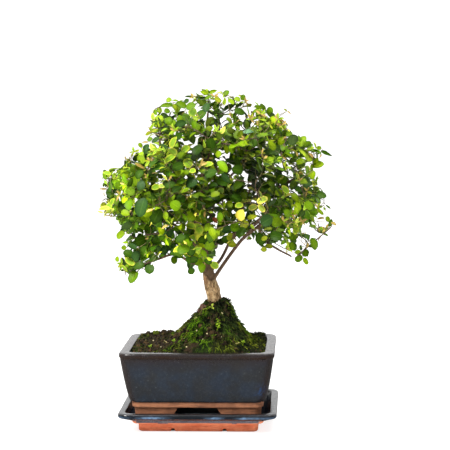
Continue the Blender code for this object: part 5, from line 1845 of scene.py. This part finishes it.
def tray_rule(x, y, z):
    """Wear, blue pooling with a painted highlight on the rim's lower roll, paleness and material number at a
    point of the tray.
    """
    drips = 0.5 * noise.noise(Vector((x * 0.09, y * 0.09, 0.3)))
    ends = 12 * max(0.0, abs(x) / TRAY_BODY[0] - 0.86)
    glazed = z > TRAY_FOOT_HEIGHT + 0.5 + drips + ends
    in_tray = abs(x) < TRAY_FLOOR[0] + 1.5 and abs(y) < TRAY_FLOOR[1] + 1.5
    on_floor = in_tray and TRAY_FLOOR_TOP - 1 < z < TRAY_FLOOR_TOP + 2
    # The band under the rim gets the thin pale glaze, partly a painted reflection of the pale floor
    material = FLOOR_GLAZED if on_floor else FLARE_GLAZED_WITH_REFLECTION if z < TRAY_BODY_TOP + 2.2 else GLAZED
    wear = 0.7 * fade(z, TRAY_RIM_TOP - 0.6, 0.9)
    # Blue pooling and painted highlight: brighter blue patches, the listed ones on the front, kept to a
    # narrow band on the rim's lower roll
    pool = 0.8 * max(0.0, noise.noise(Vector((x * 0.06, y * 0.06, 4.2))))
    for middle, reach in TRAY_POOLS_AND_HIGHLIGHTS if y < 0 else ():
        pool = max(pool, 1.4 * fade(x, middle, reach))
    pool *= math.exp(-(((z - 18.2) / 0.9) ** 2))
    pale = max(0.0, noise.noise(Vector((x, y, z)) * 0.08 + Vector((5, 5, 5))))
    return wear, min(pool, 1.0), pale, material if glazed else UNGLAZED


def make_tray(materials):
    rings = dented(tray_rings(), *TRAY_DENTS)
    for ring in rings[:2]:
        ring[:, 2] = np.clip(ring[:, 2], 0.0, None)
    rings[0][:, 2] = 0.0
    tray = lofted("drip_tray", rings, materials)
    hollow = [side - TRAY_FOOT_WALL for side in TRAY_FOOT]
    recess = [rounded_rectangle(*hollow, 3, height) for height in (-1, TRAY_RECESS_HEIGHT)]
    tools = [cutter("tray_recess", np.concatenate(recess), loft_faces(len(recess[0]), 2))]
    for place in NOTCH_PLACES:
        half = NOTCH_WIDTH / 2
        profile = [(place - half, -1), (place + half, -1)]
        for step in range(7):
            angle = math.pi * step / 6
            profile.append((place + half * math.cos(angle), NOTCH_HEIGHT * (0.35 + 0.65 * math.sin(angle))))
        tools.append(cutter("notch", *prism(profile, TRAY_RIM[1], False)))
    finish_ware(tray, tools, TRAY_SOFTNESS, tray_rule)
    return finish_piece(tray, "tray_glaze", "tray", angle=WARE_EDGE)


# Ground


def inside_of_pot(height):
    """Half lengths of the pot's inside at a height."""
    share = (height - POT_FLOOR_TOP) / (POT_RIM_TOP - 1 - POT_FLOOR_TOP)
    top = (POT_RIM[0] - POT_RIM_WIDTH, POT_RIM[1] - POT_RIM_WIDTH)
    return tuple(low + (high - low) * share for low, high in zip(POT_FLOOR, top))


def soil_height(x, y):
    """Height of the ground without its fine relief."""
    off_x = x - TRUNK_PLACE[0] - MOUND_OFFSET
    off_y = y - TRUNK_PLACE[1]
    distance = math.hypot(off_x, off_y)
    share_x = (off_x / max(distance, 1.0)) ** 2
    slope_x = MOUND_SLOPES["right" if off_x > 0 else "left"]
    slope_y = MOUND_SLOPES["back" if off_y > 0 else "front"]
    slope = slope_x * share_x + slope_y * (1 - share_x)
    mound = MOUND_TOP - max(0.0, distance - MOUND_TOP_RADIUS) * slope
    hollow_x = MOUND_HOLLOW["right" if off_x > 0 else "left"]
    hollow_y = MOUND_HOLLOW["back" if off_y > 0 else "front"]
    down = clamp((MOUND_TOP - mound) / (MOUND_TOP - SOIL_LEVEL))
    mound -= (hollow_x * share_x + hollow_y * (1 - share_x)) * math.sin(math.pi * down)
    for dip_x, dip_y, radius, depth in MOUND_DIPS:
        mound -= depth * math.exp(-((x - dip_x) ** 2 + (y - dip_y) ** 2) / radius**2)
    bed = SOIL_LEVEL + BED_WAVE * math.sin(x / BED_WAVELENGTHS[0]) * math.cos(y / BED_WAVELENGTHS[1] + 0.5)
    bed += SOIL_BACK_RISE * clamp(y / POT_FLOOR[1])
    overlap = max(0.0, MOUND_BLEND - abs(mound - bed))
    return max(mound, bed) + overlap**2 / (4 * MOUND_BLEND)


def ground_tone(x, y):
    """Colour of the ground and how mossy it is, from its patches, which fray into each other."""
    scores = dict.fromkeys(TONES, 0.0)
    for patch_x, patch_y, radius, name in PATCHES:
        near = max(0.0, 1.3 - math.dist((x, y), (patch_x, patch_y)) / radius)
        scores[name] = max(scores[name], near)
    total = 0.0
    colour = np.zeros(3)
    moss = 0.0
    for number, (name, (tone, mossy)) in enumerate(TONES.items()):
        place = Vector((x, y, 20.0 * number))
        frayed = scores[name] + 0.9 * noise.noise(place * 0.16) + 0.7 * noise.noise(place * 0.45)
        if name == "clay":
            frayed = scores[name]
        weight = math.exp(TONE_SHARPNESS * frayed)
        colour += weight * np.array(tone)
        moss += weight * mossy
        total += weight
    return colour / total, moss / total


def streaks(x, y):
    """Light and dark streaks that run down the mound, from 0 to 1."""
    off_x = x - TRUNK_PLACE[0] - MOUND_OFFSET
    off_y = y - TRUNK_PLACE[1]
    away = math.hypot(off_x, off_y)
    turn = math.atan2(off_y, off_x)
    around = Vector((math.cos(turn), math.sin(turn), 0.0)) * 13.0
    place = around + Vector((0, 0, away * 0.16))
    value = noise.noise(place) + 0.7 * noise.noise(Vector((x, y, 3.0)) * 0.42)
    value += 0.3 * noise.noise(place * 2.3)
    return clamp(0.5 + 0.95 * value)


def cushions(x, y):
    """Rounded cushions of moss, from -1 in the gaps between them to about 1 on top."""
    swing = 2.2 * noise.noise(Vector((x, y, 9.0)) * 0.3)
    near = noise.voronoi(Vector((x + swing, y - swing, 0.0)) * 0.26)[0][0]
    return 1.0 - 3.4 * near + 0.5 * noise.noise(Vector((x, y, 5.0)) * 0.6)


def ground_relief(x, y, z, moss):
    """Cushions of moss and crumbs of soil, as a height above the smooth ground."""
    place = Vector((x, y, z))
    cushion = 0.8 * cushions(x, y) + noise.noise(place * 0.2) * 1.0 + 1.2 * (streaks(x, y) - 0.5)
    crumb_distance = noise.voronoi(place * 0.36)[0][0]
    crumbs = 1.3 * (0.45 - crumb_distance) + 0.5 * noise.noise(place * 0.9)
    fine = 0.28 * noise.noise(place * 2.1)
    return moss * cushion + (1 - moss) * crumbs + fine


def ground_rings():
    """Rings from the bottom of the soil over its edge and the mound down along the trunk."""
    rings = []
    steps = (GROUND_ARC_STEPS, GROUND_SIDE_STEPS)
    for height in (SOIL_BOTTOM, 60.0, SOIL_EDGE_HEIGHT - 2.5):
        half_x, half_y = (side - 0.4 for side in inside_of_pot(height))
        rings.append(rounded_rectangle(half_x, half_y, SOIL_CORNER, height, *steps))
    centre = np.array((*TRUNK_PLACE, 0.0))
    half_x, half_y = (side - 0.35 for side in inside_of_pot(SOIL_EDGE_HEIGHT + 1))
    edge = rounded_rectangle(half_x, half_y, SOIL_CORNER, 0.0, *steps)
    for ring in range(GROUND_RINGS + 1):
        share = (ring / GROUND_RINGS) ** 0.92
        points = []
        for point in edge:
            outer = point - centre
            rim = unit(outer) * TRUNK_COLLAR
            x, y = (centre + outer + (rim - outer) * share)[:2]
            sink = 1.6 * max(0.0, 1 - ring / 4)
            points.append((x, y, soil_height(x, y) - sink))
        rings.append(np.array(points))
    rings.append(rings[-1] - np.array((0, 0, 12.0)))
    return rings


def make_ground(material):
    """The soil with its mound, up to the trunk's bark, in fine relief."""
    rings = ground_rings()
    around = len(rings[0])
    below_surface = (len(rings) - GROUND_RINGS - 2) * around
    ground = lofted("ground", rings, [material])
    mesh = ground.data
    points = part_points(mesh)
    tints = np.empty_like(points)
    marks = np.zeros_like(points)
    relief = np.zeros(len(points))
    for index, (x, y, z) in enumerate(points):
        colour, moss = ground_tone(x, y)
        # Painted shade: the soil under the moss is darkened, most of all in the gaps between the cushions
        shade = 1 + moss * (MOSS_FLOOR_SHADE + 0.4 * streaks(x, y) * max(0.3, cushions(x, y)) - 1)
        tints[index] = colour * shade * (1 + 0.6 * noise.noise(Vector((x, y, z)) * 0.5))
        marks[index, 0] = moss
        if below_surface + around <= index < len(points) - around:
            relief[index] = ground_relief(x, y, z, moss)
    raise_points(mesh, points, relief)
    set_attributes(mesh, tints, marks)
    finish_piece(ground, "soil", "soil", angle=180)
    bpy.context.view_layer.update()
    return ground


def surface_finder(ground):
    """A function that gives the ground's place and normal straight below x and y, in millimetres."""
    mesh = ground.data
    points = part_points(mesh)
    faces = [tuple(polygon.vertices) for polygon in mesh.polygons if len(polygon.vertices) == 4]
    tree = BVHTree.FromPolygons(points.tolist(), faces)

    def find(x, y):
        place, normal, _, _ = tree.ray_cast(Vector((x, y, 200)), Vector((0, 0, -1)))
        if place is None:
            return None, None
        return np.array(place), np.array(normal)

    return find


def random_spot(rng):
    """A spot of the bed or, more often, of the mound."""
    half_x, half_y = inside_of_pot(SOIL_EDGE_HEIGHT + 1)
    if rng.random() < MOUND_SHARE:
        angle = rng.uniform(0, 2 * math.pi)
        away = MOUND_INNER + MOUND_REACH * math.sqrt(rng.random())
        stretch = MOUND_STRETCH["left" if math.cos(angle) < 0 else "right"]
        x = TRUNK_PLACE[0] + MOUND_OFFSET + away * math.cos(angle) * stretch
        y = away * math.sin(angle)
    else:
        x = rng.uniform(-half_x, half_x)
        y = rng.uniform(-half_y, half_y)
    at_edge = abs(x) > half_x - EDGE_ROOM or abs(y) > half_y - EDGE_ROOM
    if at_edge or math.dist((x, y), TRUNK_PLACE) < TRUNK_ROOM:
        return None
    return x, y


def ground_places(find, rng, keep):
    """Random spots that the rule keeps, without end, each with its colour, mossiness, place and normal."""
    while True:
        spot = random_spot(rng)
        if spot is None:
            continue
        colour, moss = ground_tone(*spot)
        if not keep(spot, moss):
            continue
        place, normal = find(*spot)
        if place is not None:
            yield spot, colour, moss, place, normal


def add_frond(shapes, place, way, length, radius, tint):
    """A short bent moss frond, dark at its foot and light at its tip."""
    bend = np.array((0, 0, -0.25 * length))
    path = [place - way * 0.5, place + way * length * 0.55, place + way * length + bend]
    points, faces = tube(path, [radius, radius * 0.75, radius * 0.2], 3, pointed=True)
    shade = np.repeat([0.55, 1.0, 1.5], [3, 3, 1])[:, None]
    shapes.add(points, faces, np.array(tint) * shade)


def make_moss(find, material):
    rng = random.Random(SEED + 3)
    shapes = Shapes()
    mossy = ground_places(find, rng, lambda spot, moss: rng.random() <= moss)
    for spot, colour, _, place, normal in itertools.islice(mossy, FROND_COUNT):
        downhill = np.array((normal[0], normal[1], 0.0))
        way = unit(normal * 0.8 + downhill * 0.5 + scattered(rng, FROND_SCATTER))
        length = rng.uniform(*FROND_LENGTHS)
        # Fronds in the gaps between the cushions are darkened as painted shade
        raised = min(max(0.55 + 0.5 * cushions(*spot), 0.12), 1.15)
        light = rng.uniform(0.6, 1.15) * (0.2 + 2.0 * streaks(*spot) ** 1.7) * raised
        add_frond(shapes, place, way, length, FROND_RADIUS * rng.uniform(0.7, 1.25), colour * light)
    light_spots = ground_places(find, rng, lambda spot, moss: rng.random() <= streaks(*spot))
    mossy = (found for found in light_spots if rng.random() <= found[2])
    for _, colour, _, place, normal in itertools.islice(mossy, STRAND_COUNT):
        downhill = unit(np.array((normal[0], normal[1], -math.hypot(normal[0], normal[1]))))
        way = unit(normal * 0.45 + downhill + scattered(rng, STRAND_SCATTER))
        light = STRAND_LIGHT * rng.uniform(0.5, 1.2)
        add_frond(shapes, place, way, rng.uniform(*STRAND_LENGTHS), STRAND_RADIUS, colour * light)
    piece = shapes.build("moss", [material])
    return finish_piece(piece, "leaves", angle=80)


def lump(centre, radii, rng, rough=0.25, detail=1):
    """Vertices and faces of an uneven rounded lump."""
    mesh = bmesh.new()
    bmesh.ops.create_icosphere(mesh, subdivisions=detail, radius=1.0)
    seed = Vector([rng.uniform(-50, 50) for _ in range(3)])
    points = []
    for vertex in mesh.verts:
        grown = 1 + rough * noise.noise(vertex.co * 1.6 + seed) * 2
        points.append(np.array(centre) + np.array(vertex.co) * grown * np.array(radii))
    faces = [tuple(corner.index for corner in face.verts) for face in mesh.faces]
    mesh.free()
    return np.array(points), faces


def make_crumbs(find, material):
    """Dark crumbs of soil, and pale grains."""
    rng = random.Random(SEED + 4)
    shapes = Shapes()
    bare = ground_places(find, rng, lambda spot, moss: rng.random() >= moss * CRUMB_LOSS)
    for _, _, _, place, normal in itertools.islice(bare, CRUMB_COUNT):
        size = 0.6 + 1.5 * rng.random() ** 2
        radii = [size * rng.uniform(0.7, 1.2) for _ in range(3)]
        earth = np.array(TONES["earth"][0]) * rng.uniform(0.4, 2.6) * (1.0, rng.uniform(0.8, 1.25), 0.8)
        detail = 2 if size > FINE_CRUMB else 1
        shapes.add(*lump(place + normal * size * 0.3, radii, rng, detail=detail), earth)
    for x, y in PALE_GRAINS:
        place, normal = find(x, y)
        size = rng.uniform(0.7, 1.1)
        pale = np.array(PALE_GRAIN) * rng.uniform(0.8, 1.1)
        shapes.add(*lump(place + normal * size * 0.8, [size] * 3, rng, detail=2), pale)
    for x, y, z, size, tone in LUMPS:
        tint = np.array(TONES[tone][0]) * rng.uniform(0.7, 1.2)
        shapes.add(*lump((x, y, z), [size, size, size * 0.9], rng, rough=0.3, detail=3), tint)
    piece = shapes.build("crumbs", [material])
    return finish_piece(piece, "soil", angle=80)


def add_sprig(shapes, place, way, length, leaf_length, pairs, tint, rng):
    """A tiny seedling: a thin stalk with pairs of small leaves."""
    place = place + (0, -0.8, 1.0)
    path, _ = smooth_path([place - way, place + way * length * 0.6, place + way * length + (0, 0, 0.6)], 1.2)
    shapes.add(*tube(path, np.linspace(0.32, 0.2, len(path)), 5, pointed=True), np.array(tint) * 1.1)
    lengths = way_along(path)
    for number in range(pairs):
        start = 0.8 if pairs < 3 else 0.3
        share = start + (0.98 - start) * number / max(pairs - 1, 1)
        here, ahead = at_length(path, lengths, lengths[-1] * share)
        for half in (0, 1):
            side = side_of(ahead, number * 1.3 + half * math.pi)
            along = unit(side + ahead * 0.6)
            face = unit(np.cross(along, np.cross(SPRIG_FACE, along)))
            pose = Pose(here, along, face, leaf_length, leaf_length * 0.6)
            blade = SMALL_BLADES["oval"]
            shapes.add(blade_points(pose, blade, rng), blade.faces, np.array(tint) * rng.uniform(0.85, 1.15))


def make_sprigs(find, material):
    """Seedlings, grassy tufts and a straw on the moss."""
    rng = random.Random(SEED + 5)
    shapes = Shapes()
    for spot, way, length, leaf_length, pairs, tint in SEEDLINGS:
        place, _ = find(*spot)
        add_sprig(shapes, place, unit(np.array(way)), length, leaf_length, pairs, tint, rng)
    for spot in GRASS_PLACES:
        place, normal = find(*spot)
        for _ in range(GRASS_BLADES):
            way = unit(normal * 0.5 + (0, 0, 0.5) + scattered(rng, GRASS_SCATTER))
            tint = np.array(GRASS_TINT) * rng.uniform(0.7, 1.8)
            add_frond(shapes, place, way, rng.uniform(*GRASS_LENGTHS), GRASS_RADIUS, tint)
    for spot, turn, length in STRAWS:
        place, normal = find(*spot)
        way = np.array((math.cos(turn), math.sin(turn), 0.25))
        path = [place + normal * 1.0 + way * (share - 0.5) * length for share in (0, 0.35, 0.7, 1)]
        shapes.add(*tube(path, [0.3, 0.34, 0.3, 0.2], 5), STRAW_TINT)
    piece = shapes.build("sprigs", [material])
    return finish_piece(piece, "leaves", angle=80)


# Materials


def new_material(name, roughness, specular=0.5):
    material = bpy.data.materials.new(name)
    material.use_nodes = True
    shader = material.node_tree.nodes["Principled BSDF"]
    shader.inputs["Roughness"].default_value = roughness
    shader.inputs["Specular IOR Level"].default_value = specular
    return material, material.node_tree, shader


def add_node(tree, kind, inputs=None, **settings):
    node = tree.nodes.new(kind)
    for key, value in settings.items():
        setattr(node, key, value)
    for key, value in (inputs or {}).items():
        if isinstance(value, bpy.types.NodeSocket):
            tree.links.new(value, node.inputs[key])
        else:
            node.inputs[key].default_value = value
    return node


def mix(tree, factor, first, second, way="MIX"):
    """Colour socket of a mix. Colours are sockets or triples."""
    inputs = {0: factor}
    for place, colour in ((6, first), (7, second)):
        inputs[place] = colour if isinstance(colour, bpy.types.NodeSocket) else (*colour, 1.0)
    return add_node(tree, "ShaderNodeMix", inputs, data_type="RGBA", blend_type=way).outputs[2]


def tinted(tree, colour, factors):
    """The colour with its channels multiplied."""
    return mix(tree, 1.0, colour, factors, "MULTIPLY")


def shaded(tree, share, colour, dark, light):
    """The colour, multiplied by dark where the share is 0 and by light where it is 1."""
    return mix(tree, share, tinted(tree, colour, dark), tinted(tree, colour, light))


def calc(tree, operation, *values):
    inputs = dict(enumerate(values))
    return add_node(tree, "ShaderNodeMath", inputs, operation=operation).outputs[0]


def span(tree, value, low, high, to_low=0.0, to_high=1.0, smooth=True):
    """The value carried from one range to another and kept inside it."""
    inputs = {"Value": value, "From Min": low, "From Max": high, "To Min": to_low, "To Max": to_high}
    way = "SMOOTHSTEP" if smooth else "LINEAR"
    return add_node(tree, "ShaderNodeMapRange", inputs, interpolation_type=way).outputs["Result"]


def object_place(tree):
    return add_node(tree, "ShaderNodeTexCoord").outputs["Object"]


def noise_value(tree, scale, detail=3.0, rough=0.55, place=None):
    inputs = {"Vector": place or object_place(tree), "Scale": scale, "Detail": detail, "Roughness": rough}
    return add_node(tree, "ShaderNodeTexNoise", inputs).outputs["Fac"]


def specks_value(tree, scale):
    inputs = {"Vector": object_place(tree), "Scale": scale}
    return add_node(tree, "ShaderNodeTexVoronoi", inputs).outputs["Distance"]


def stretched_place(tree, scale):
    return add_node(tree, "ShaderNodeMapping", {"Vector": object_place(tree), "Scale": scale}).outputs[0]


def tint_of(tree):
    return add_node(tree, "ShaderNodeAttribute", attribute_name="tint").outputs["Color"]


def marks_of(tree):
    """The three marks of a point."""
    vector = add_node(tree, "ShaderNodeAttribute", attribute_name="mark").outputs["Vector"]
    return add_node(tree, "ShaderNodeSeparateXYZ", {0: vector}).outputs


def bump(tree, shader, height, distance, strength=1.0):
    inputs = {"Height": height, "Distance": distance * MM, "Strength": strength}
    tree.links.new(add_node(tree, "ShaderNodeBump", inputs).outputs[0], shader.inputs["Normal"])


def set_looks(tree, shader, colour, roughness=None):
    tree.links.new(colour, shader.inputs["Base Color"])
    if roughness is not None:
        tree.links.new(roughness, shader.inputs["Roughness"])


def leaf_material():
    """Glossy leaf with a pale midrib, side veins and a rim darker or lighter than its middle."""
    material, tree, shader = new_material("leaf_blade", 0.42, 0.08)
    across, along, variegated = marks_of(tree)
    tint = tint_of(tree)
    off = calc(tree, "ABSOLUTE", across)
    from_middle = calc(tree, "ABSOLUTE", calc(tree, "MULTIPLY_ADD", along, 2.0, -1.0))
    rim = span(tree, calc(tree, "MAXIMUM", off, from_middle), 0.45, 1.0)
    rim_dark = shaded(tree, rim, tint, (1.12, 1.12, 1.0), (0.66, 0.74, 0.72))
    rim_pale = mix(tree, rim, tinted(tree, tint, (0.42, 0.66, 0.50)), tint)
    colour = mix(tree, variegated, rim_dark, rim_pale)
    mottle = noise_value(tree, 420.0, 2.0)
    dull = tinted(tree, colour, (0.7, 0.8, 0.7))
    colour = mix(tree, span(tree, mottle, 0.3, 0.75, 0.0, 0.35), colour, dull)
    midrib = span(tree, off, 0.03, 0.10, 1.0, 0.0)
    slant = calc(tree, "MULTIPLY_ADD", off, -0.9, calc(tree, "MULTIPLY", along, 5.5))
    wave = calc(tree, "PINGPONG", slant, 0.5)
    veins = calc(tree, "MULTIPLY", span(tree, wave, 0.0, 0.09, 1.0, 0.0), 0.45)
    lines = calc(tree, "MAXIMUM", midrib, veins)
    pale = mix(tree, 1.0, tinted(tree, colour, (1.5, 1.4, 1.4)), (0.02, 0.03, 0.005), "ADD")
    colour = mix(tree, calc(tree, "MULTIPLY", lines, 0.55), colour, pale)
    set_looks(tree, shader, colour, span(tree, mottle, 0.3, 0.8, 0.34, 0.52, False))
    bump(tree, shader, calc(tree, "SUBTRACT", 1.0, lines), 0.12, 0.6)
    return material


def twig_material():
    material, tree, shader = new_material("twig_bark", 0.75, 0.3)
    spots = noise_value(tree, 900.0, 3.0)
    colour = shaded(tree, span(tree, spots, 0.35, 0.7), tint_of(tree), (0.6, 0.6, 0.6), (1.5, 1.45, 1.4))
    set_looks(tree, shader, colour)
    bump(tree, shader, spots, 0.1, 0.5)
    return material


def bark_material():
    """Flaky bark: the tint of its mesh in lighter and darker patches, with fine dark cracks."""
    material, tree, shader = new_material("bark", 0.85, 0.25)
    place = stretched_place(tree, (1.0, 1.0, 0.6))
    fine = noise_value(tree, 900.0, 4.0, 0.65, place)
    broad = noise_value(tree, 260.0, 3.0, 0.6, place)
    tint = tint_of(tree)
    colour = shaded(tree, span(tree, broad, 0.38, 0.62), tint, (0.72, 0.68, 0.64), (1.22, 1.2, 1.16))
    crack = tinted(tree, tint, (0.45, 0.4, 0.36))
    colour = mix(tree, span(tree, fine, 0.55, 0.75, 0.0, 0.6), colour, crack)
    set_looks(tree, shader, colour, span(tree, broad, 0.3, 0.7, 0.75, 0.95, False))
    bump(tree, shader, calc(tree, "ADD", fine, broad), 0.35, 0.8)
    return material


def ground_material():
    """Moist soil and moss: the tint of its mesh, broken up by fine light and dark specks."""
    material, tree, shader = new_material("ground", 0.9, 0.15)
    tint = tint_of(tree)
    moss = marks_of(tree)[0]
    fine = noise_value(tree, 750.0, 4.0, 0.7)
    specks = specks_value(tree, 620.0)
    colour = shaded(tree, span(tree, fine, 0.36, 0.64), tint, (0.35, 0.38, 0.4), (1.6, 1.6, 1.3))
    light = mix(tree, moss, (0.10, 0.075, 0.06), (0.16, 0.26, 0.03))
    colour = mix(tree, span(tree, specks, 0.10, 0.22, 0.5, 0.0), colour, light)
    set_looks(tree, shader, colour, span(tree, fine, 0.3, 0.7, 0.7, 0.98, False))
    bump(tree, shader, calc(tree, "SUBTRACT", fine, specks), 0.5, 0.9)
    return material


def moss_material():
    material, tree, shader = new_material("moss", 0.7, 0.12)
    fine = noise_value(tree, 1100.0, 2.0)
    colour = shaded(tree, span(tree, fine, 0.35, 0.65), tint_of(tree), (0.7, 0.72, 0.8), (1.3, 1.25, 1.1))
    set_looks(tree, shader, colour)
    bump(tree, shader, fine, 0.1, 0.4)
    return material


def glaze_material(name, dark, blue, pool_and_highlight, brown):
    """Dark speckled glaze: brown where it runs thin, brighter where it pools, and on the tray's rim where a
    highlight is painted.
    """
    material, tree, shader = new_material(name, 0.16)
    wear, pool, pale = marks_of(tree)
    cloud = noise_value(tree, 55.0, 5.0, 0.6)
    mottle = noise_value(tree, 380.0, 4.0, 0.65)
    colour = mix(tree, span(tree, cloud, 0.35, 0.65), dark, blue)
    bright = tinted(tree, colour, (1.9, 1.8, 1.6))
    colour = mix(tree, span(tree, mottle, 0.42, 0.72, 0.0, 0.55), colour, bright)
    colour = mix(tree, calc(tree, "MULTIPLY", pale, 0.5), colour, tinted(tree, colour, (1.5, 1.3, 1.1)))
    thin = calc(tree, "MULTIPLY", wear, span(tree, cloud, 0.25, 0.6, 0.55, 1.0))
    colour = mix(tree, thin, colour, brown)
    # Blue pooling, on the tray's rim also a painted highlight
    pooling = calc(tree, "MULTIPLY", pool, span(tree, mottle, 0.3, 0.6, 0.3, 1.0))
    colour = mix(tree, pooling, colour, pool_and_highlight)
    grains = specks_value(tree, 900.0)
    colour = mix(tree, span(tree, grains, 0.06, 0.16, 0.4, 0.0), colour, (0.16, 0.19, 0.22))
    set_looks(tree, shader, colour, span(tree, mottle, 0.3, 0.75, 0.10, 0.30, False))
    bump(tree, shader, calc(tree, "ADD", cloud, calc(tree, "MULTIPLY", mottle, 0.75)), 0.4, 0.5)
    return material


def clay_material(name, light, dark, stain):
    """Unglazed fired clay with throwing marks, grit and darker stains."""
    material, tree, shader = new_material(name, 0.8, 0.25)
    cloud = noise_value(tree, 90.0, 4.0, 0.6)
    grit = noise_value(tree, 1400.0, 3.0, 0.7)
    flat = stretched_place(tree, (0.25, 0.25, 3.0))
    streaks = noise_value(tree, 240.0, 3.0, 0.6, flat)
    colour = mix(tree, span(tree, cloud, 0.35, 0.65), dark, light)
    colour = mix(tree, span(tree, streaks, 0.5, 0.7, 0.0, 0.6), colour, stain)
    gritty = tinted(tree, colour, (0.6, 0.55, 0.5))
    colour = mix(tree, span(tree, grit, 0.58, 0.75, 0.0, 0.5), colour, gritty)
    set_looks(tree, shader, colour, span(tree, grit, 0.3, 0.7, 0.7, 0.92, False))
    bump(tree, shader, calc(tree, "ADD", streaks, grit), 0.15, 0.6)
    return material


def plastic_material():
    material, tree, shader = new_material("screen_plastic", 0.45)
    grain = noise_value(tree, 1800.0, 2.0)
    colour = mix(tree, grain, (0.018, 0.018, 0.018), (0.035, 0.035, 0.036))
    set_looks(tree, shader, colour)
    bump(tree, shader, grain, 0.05, 0.4)
    return material


# Studio


def make_camera():
    yaw, pitch, roll = (math.radians(turn) for turn in CAMERA_TURNS)
    forward = Vector((math.sin(yaw) * math.cos(pitch), math.cos(yaw) * math.cos(pitch), -math.sin(pitch)))
    level = Vector((math.cos(yaw), -math.sin(yaw), 0))
    above = level.cross(forward)
    right = level * math.cos(roll) + above * math.sin(roll)
    up = above * math.cos(roll) - level * math.sin(roll)
    data = bpy.data.cameras.new("camera")
    data.lens = CAMERA_LENS
    data.sensor_width = 36.0
    data.clip_start = 0.05
    data.clip_end = 50.0
    camera = bpy.data.objects.new("camera", data)
    bpy.context.scene.collection.objects.link(camera)
    camera.matrix_world = Matrix.Translation(Vector(CAMERA_PLACE) * MM + SHIFT) @ Matrix(
        (right, up, -forward)).transposed().to_4x4()
    bpy.context.scene.camera = camera


def add_light(name, place, size, power, colour):
    data = bpy.data.lights.new(name, "AREA")
    data.size = size
    data.energy = power
    data.color = colour
    light = bpy.data.objects.new(name, data)
    bpy.context.scene.collection.objects.link(light)
    light.location = place
    light.rotation_euler = (Vector(LAMP_TARGET) - Vector(place)).to_track_quat("-Z", "Y").to_euler()


def make_world():
    """White surroundings that light the object from above and behind, and less from the front."""
    world = bpy.data.worlds.new("studio")
    bpy.context.scene.world = world
    world.use_nodes = True
    tree = world.node_tree
    direction = add_node(tree, "ShaderNodeTexCoord").outputs["Generated"]
    _, backwards, upwards = add_node(tree, "ShaderNodeSeparateXYZ", {0: direction}).outputs
    behind = span(tree, backwards, -0.5, 0.3, FRONT_GLOW, BACK_GLOW)
    above = span(tree, upwards, 0.2, 0.9, 0.0, TOP_GLOW)
    seen = add_node(tree, "ShaderNodeLightPath").outputs["Is Camera Ray"]
    background = tree.nodes["Background"]
    background.inputs["Color"].default_value = (1, 1, 1, 1)
    glow = calc(tree, "MAXIMUM", calc(tree, "MAXIMUM", behind, above), seen)
    tree.links.new(glow, background.inputs["Strength"])


def floor_material():
    """Pale floor that looks as white as the backdrop, with a faint shadow, and stays dim in the glaze."""
    material, tree, shader = new_material("floor", 0.9, 0.1)
    rays = add_node(tree, "ShaderNodeLightPath").outputs
    white = mix(tree, rays["Is Camera Ray"], (0.8, 0.8, 0.8), (0.45, 0.45, 0.45))
    tree.links.new(mix(tree, rays["Is Glossy Ray"], white, (0.12, 0.12, 0.12)), shader.inputs["Base Color"])
    shader.inputs["Emission Color"].default_value = (1, 1, 1, 1)
    x, y, _ = add_node(tree, "ShaderNodeSeparateXYZ", {0: object_place(tree)}).outputs
    off_x, off_y = (
        calc(tree, "ABSOLUTE", calc(tree, "DIVIDE", calc(tree, "SUBTRACT", value, middle), half * MM))
        for value, middle, half in zip((x, y), SHIFT, TRAY_FOOT)
    )
    outside = span(tree, calc(tree, "MAXIMUM", off_x, off_y), 0.90, 0.94)
    glow = calc(tree, "MULTIPLY", calc(tree, "MULTIPLY", rays["Is Camera Ray"], FLOOR_GLOW), outside)
    tree.links.new(glow, shader.inputs["Emission Strength"])
    return material


def make_studio():
    make_world()
    for lamp in LAMPS:
        add_light(*lamp)
    mesh = bpy.data.meshes.new("floor")
    corners = [(x * FLOOR_HALF, y * FLOOR_HALF, 0) for x, y in ((-1, -1), (1, -1), (1, 1), (-1, 1))]
    mesh.from_pydata(corners, [], [(0, 1, 2, 3)])
    floor = bpy.data.objects.new("floor", mesh)
    bpy.context.scene.collection.objects.link(floor)
    floor.location.z = -FLOOR_DROP
    mesh.materials.append(floor_material())
    bpy.context.scene.view_settings.view_transform = "Standard"


def make_object():
    blue_glaze = glaze_material("pot_glaze", *POT_GLAZE)
    navy_glaze = glaze_material("tray_glaze", *TRAY_GLAZE)
    # The thin glaze under the tray's rim is partly a painted reflection of the pale floor
    flare_glaze_with_reflection = glaze_material("tray_flare_glaze_with_reflection", *FLARE_GLAZE_WITH_REFLECTION)
    dull_glaze, tree, shader = new_material("tray_floor_glaze", 0.8, 0.05)
    set_looks(tree, shader, mix(tree, noise_value(tree, 300.0), *DULL_GLAZE))
    clay = clay_material("pot_clay", *POT_CLAY)
    terracotta = clay_material("tray_clay", *TRAY_CLAY)
    earth = ground_material()
    moss = moss_material()
    make_tray([navy_glaze, terracotta, dull_glaze, flare_glaze_with_reflection])
    make_pot([blue_glaze, clay])
    for name in ("screen_left", "screen_right"):
        frame["nodes"][name].data.materials.clear()
        frame["nodes"][name].data.materials.append(plastic_material())
    find = surface_finder(make_ground(earth))
    make_moss(find, moss)
    make_crumbs(find, earth)
    make_sprigs(find, moss)
    make_wood(bark_material())
    make_foliage(grown_tree(), [leaf_material(), twig_material()])


make_camera()
make_studio()
make_object()
